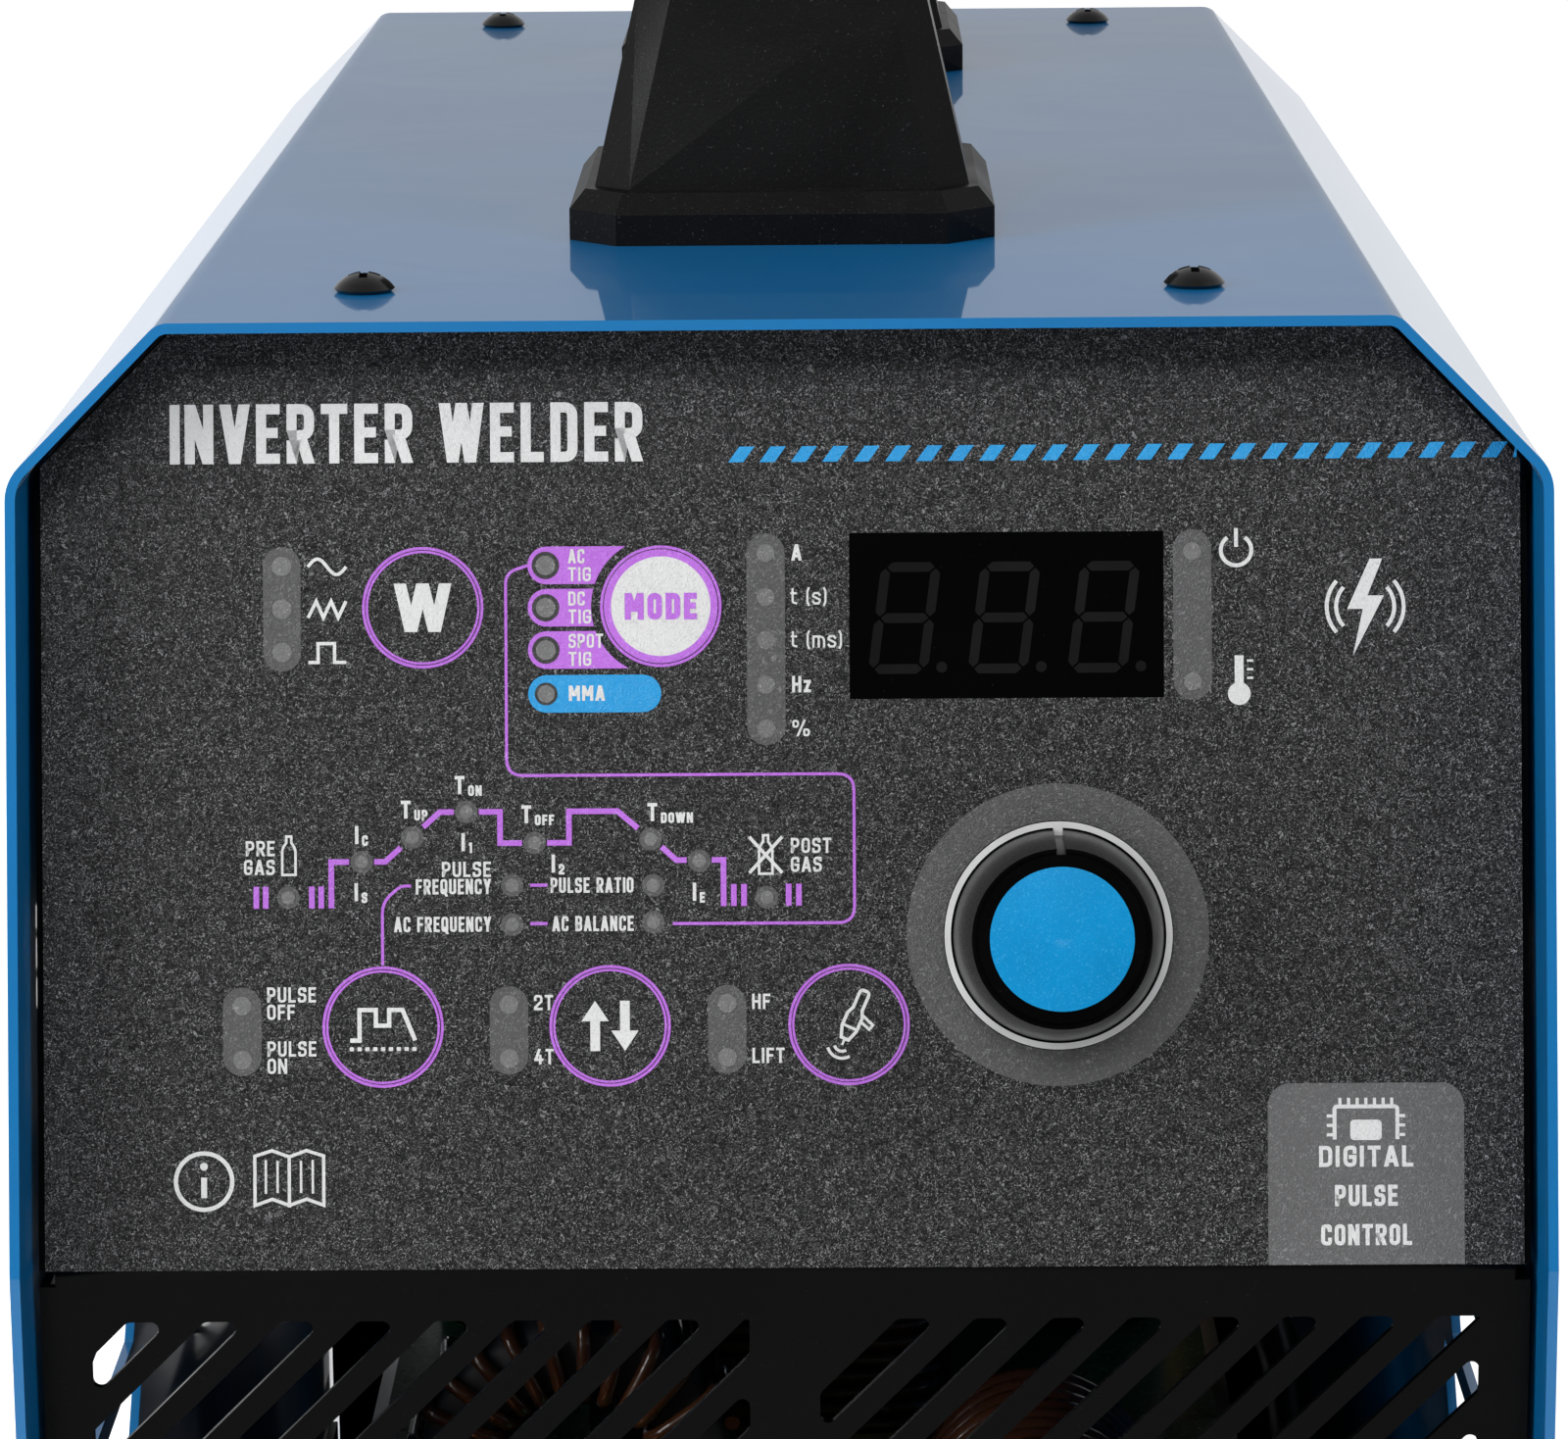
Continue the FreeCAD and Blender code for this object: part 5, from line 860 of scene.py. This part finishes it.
def choke_place(point, s):
    a = math.radians(choke_start + choke_sweep * s)
    r = turn_middle + point[0]
    return choke_centre + (X * math.cos(a) + Z * math.sin(a)) * r + Y * point[1]


def choke_turn(t):
    return rounded_box(turn_half, core_half + strand, choke_corner, t)


choke_path = wound_round(choke_turn, choke_turn_count, choke_place, choke_steps)
choke_wire = swept(choke_path, strand * SLACK, False, 8)
choke_core = solid("choke_core", [core], finishes["ferrite"], "case")
choke_turns = solid("choke_turns", [choke_wire], finishes["winding"], "case")
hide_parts("output_choke")
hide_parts("output_choke")

# the high-frequency coupling coil: a former with heavy turns
low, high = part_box("hf_coupling_coil")
coil_centre = (low + high) / 2
coil_radius, coil_half = (high.x - low.x) / 2, (high.y - low.y) / 2
strand = 2.1 * MM
former = revolved([(coil_radius - 2 * strand - 2 * MM, -coil_half), (coil_radius - 2 * strand, -coil_half),
                   (coil_radius - 2 * strand, coil_half), (coil_radius - 2 * strand - 2 * MM, coil_half)],
                  coil_centre, Y, X, 64)
coil_turn_count, coil_steps = 8, 48
coil_points = coil_turn_count * coil_steps
coil_path = []
for i in range(coil_points + 1):
    a = 2 * math.pi * i / coil_steps
    along = (coil_half - strand) * (2 * i / coil_points - 1)
    coil_path.append(coil_centre + (X * math.cos(a) + Z * math.sin(a)) * (coil_radius - strand) + Y * along)
coil_former = solid("coil_former", [former], finishes["glass_fibre"], "case", smooth=False)
coil_turns = solid("coil_turns", [swept(coil_path, strand * SLACK, False, 10)], finishes["winding"], "case")
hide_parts("hf_coupling_coil")
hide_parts("hf_coupling_coil")

# the main transformer's outer layer of turns round its coil
low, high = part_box("transformer_winding")
wind_centre = (low + high) / 2
half_x, half_y, half_z = (high - low) / 2
strand = 1.55 * MM
turn_count = int(2 * half_z / (2 * strand))
wind_corner, bobbin_corner, leg_corner = 7.0 * MM, 5.5 * MM, 0.8 * MM
wind_steps, sides = 40, 48


def wind_turn(t):
    return rounded_box(half_x - strand, half_y - strand, wind_corner, t)


def wind_place(point, s):
    return wind_centre + X * point[0] + Y * point[1] + Z * ((half_z - strand) * (2 * s - 1))


wind_path = wound_round(wind_turn, turn_count, wind_place, wind_steps)
inside = [rounded_box(half_x - 2 * strand, half_y - 2 * strand, bobbin_corner, t / sides) for t in range(sides)]
core_leg_x, core_leg_y = 12.6 * MM, 14.6 * MM
leg_room = [rounded_box(core_leg_x, core_leg_y, leg_corner, t / sides) for t in range(sides)]
bobbin_points, bobbin_faces = [], []
for loop in (inside, leg_room):
    for z in (-half_z, half_z):
        bobbin_points += [wind_centre + X * p[0] + Y * p[1] + Z * z for p in loop]
outer_low, outer_high, inner_low, inner_high = (sides * step for step in range(4))
for i in range(sides):
    j = (i + 1) % sides
    bobbin_faces += [(outer_low + i, outer_low + j, outer_high + j, outer_high + i),
                     (inner_low + j, inner_low + i, inner_high + i, inner_high + j),
                     (outer_high + i, outer_high + j, inner_high + j, inner_high + i),
                     (outer_low + j, outer_low + i, inner_low + i, inner_low + j)]
transformer_bobbin = solid("transformer_bobbin", [(bobbin_points, bobbin_faces)], finishes["glass_fibre"],
                           "case", smooth=False)
wind_wire = swept(wind_path, strand * SLACK, False, 8)
transformer_turns = solid("transformer_turns", [wind_wire], finishes["winding"], "case")
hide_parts("transformer_winding")
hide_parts("transformer_winding")


# ------------------------------------------------------------------ stage, light and camera
floor_mesh = bpy.data.meshes.new("floor")
reach = 9.0
floor_mesh.from_pydata([(-reach, -reach, 0), (reach, -reach, 0), (reach, reach, 0), (-reach, reach, 0)], [],
                       [(0, 1, 2, 3)])
pale_floor = surface("floor_pale", (0.90, 0.905, 0.91), (0.93, 0.935, 0.94), 0.75, 0.05, 3.0)
floor_mesh.materials.append(pale_floor)
floor_glow = next(n for n in pale_floor.node_tree.nodes if n.type == "BSDF_PRINCIPLED")
floor_glow.inputs["Emission Color"].default_value = (1.0, 1.0, 1.0, 1.0)
floor_tree = pale_floor.node_tree
floor_split = floor_tree.nodes.new("ShaderNodeSeparateXYZ")
wire(floor_tree, floor_tree.nodes.new("ShaderNodeTexCoord").outputs["Object"], floor_split.inputs[0])
floor_near, floor_far, glow_near, glow_far = -0.25, 0.35, 0.0, 0.75
wire(floor_tree, window_of(floor_tree, floor_split.outputs["Y"], floor_near, floor_far, glow_near, glow_far),
     floor_glow.inputs["Emission Strength"])
floor = bpy.data.objects.new("floor", floor_mesh)
bpy.context.scene.collection.objects.link(floor)

world = bpy.data.worlds.new("studio")
bpy.context.scene.world = world
world.use_nodes = True
sky = world.node_tree
ray = sky.nodes.new("ShaderNodeTexCoord").outputs["Generated"]
split = sky.nodes.new("ShaderNodeSeparateXYZ")
wire(sky, ray, split.inputs[0])
background = next(n for n in sky.nodes if n.type == "BACKGROUND")
background.inputs["Color"].default_value = (1.0, 1.0, 1.0, 1.0)
sky_front, sky_back, sky_dim, sky_bright = -0.5, 0.75, 0.10, 0.54
wire(sky, window_of(sky, split.outputs["Y"], sky_front, sky_back, sky_dim, sky_bright),
     background.inputs["Strength"])


def softbox(name, place, aim, width, height, watts):
    light = bpy.data.lights.new(name, "AREA")
    light.shape = "RECTANGLE"
    light.size, light.size_y = width, height
    light.energy = watts
    lamp = bpy.data.objects.new(name, light)
    lamp.location = place
    lamp.rotation_euler = (Vector(aim) - Vector(place)).to_track_quat("-Z", "Y").to_euler()
    bpy.context.scene.collection.objects.link(lamp)


softbox("softbox_left", (-1.55, -0.95, 0.95), (0, -0.15, 0.22), width=0.7, height=1.3, watts=26)
softbox("softbox_right", (1.35, -0.75, 1.45), (0, -0.15, 0.25), width=0.5, height=0.9, watts=8)
softbox("softbox_front", (-0.25, -1.9, 1.75), (0, -0.1, 0.25), width=1.2, height=0.7, watts=26)

camera_data = bpy.data.cameras.new("camera")
camera_data.sensor_fit = "HORIZONTAL"
camera_data.sensor_width = 36.0
camera_data.lens = 130.76
camera_data.clip_start = 0.05
camera_side, camera_back, camera_rise = 7.81 * MM, 692.9 * MM, 232.63 * MM
camera_yaw, camera_pitch, camera_roll = -0.5966, 13.066, -0.4892
camera = bpy.data.objects.new("camera", camera_data)
bpy.context.scene.collection.objects.link(camera)
yaw, pitch, roll = (math.radians(a) for a in (camera_yaw, camera_pitch, camera_roll))
ahead = Vector((math.sin(yaw) * math.cos(pitch), math.cos(yaw) * math.cos(pitch), -math.sin(pitch)))
level = Vector((math.cos(yaw), -math.sin(yaw), 0))
upward = level.cross(ahead)
cam_x = level * math.cos(roll) + upward * math.sin(roll)
cam_y = upward * math.cos(roll) - level * math.sin(roll)
turn = Matrix((cam_x, cam_y, -ahead)).transposed().to_4x4()
camera_place = Vector((camera_side, wall_y - camera_back, kink_z + camera_rise))
camera.matrix_world = Matrix.Translation(camera_place) @ turn
bpy.context.scene.camera = camera
bpy.context.scene.view_settings.view_transform = "Standard"
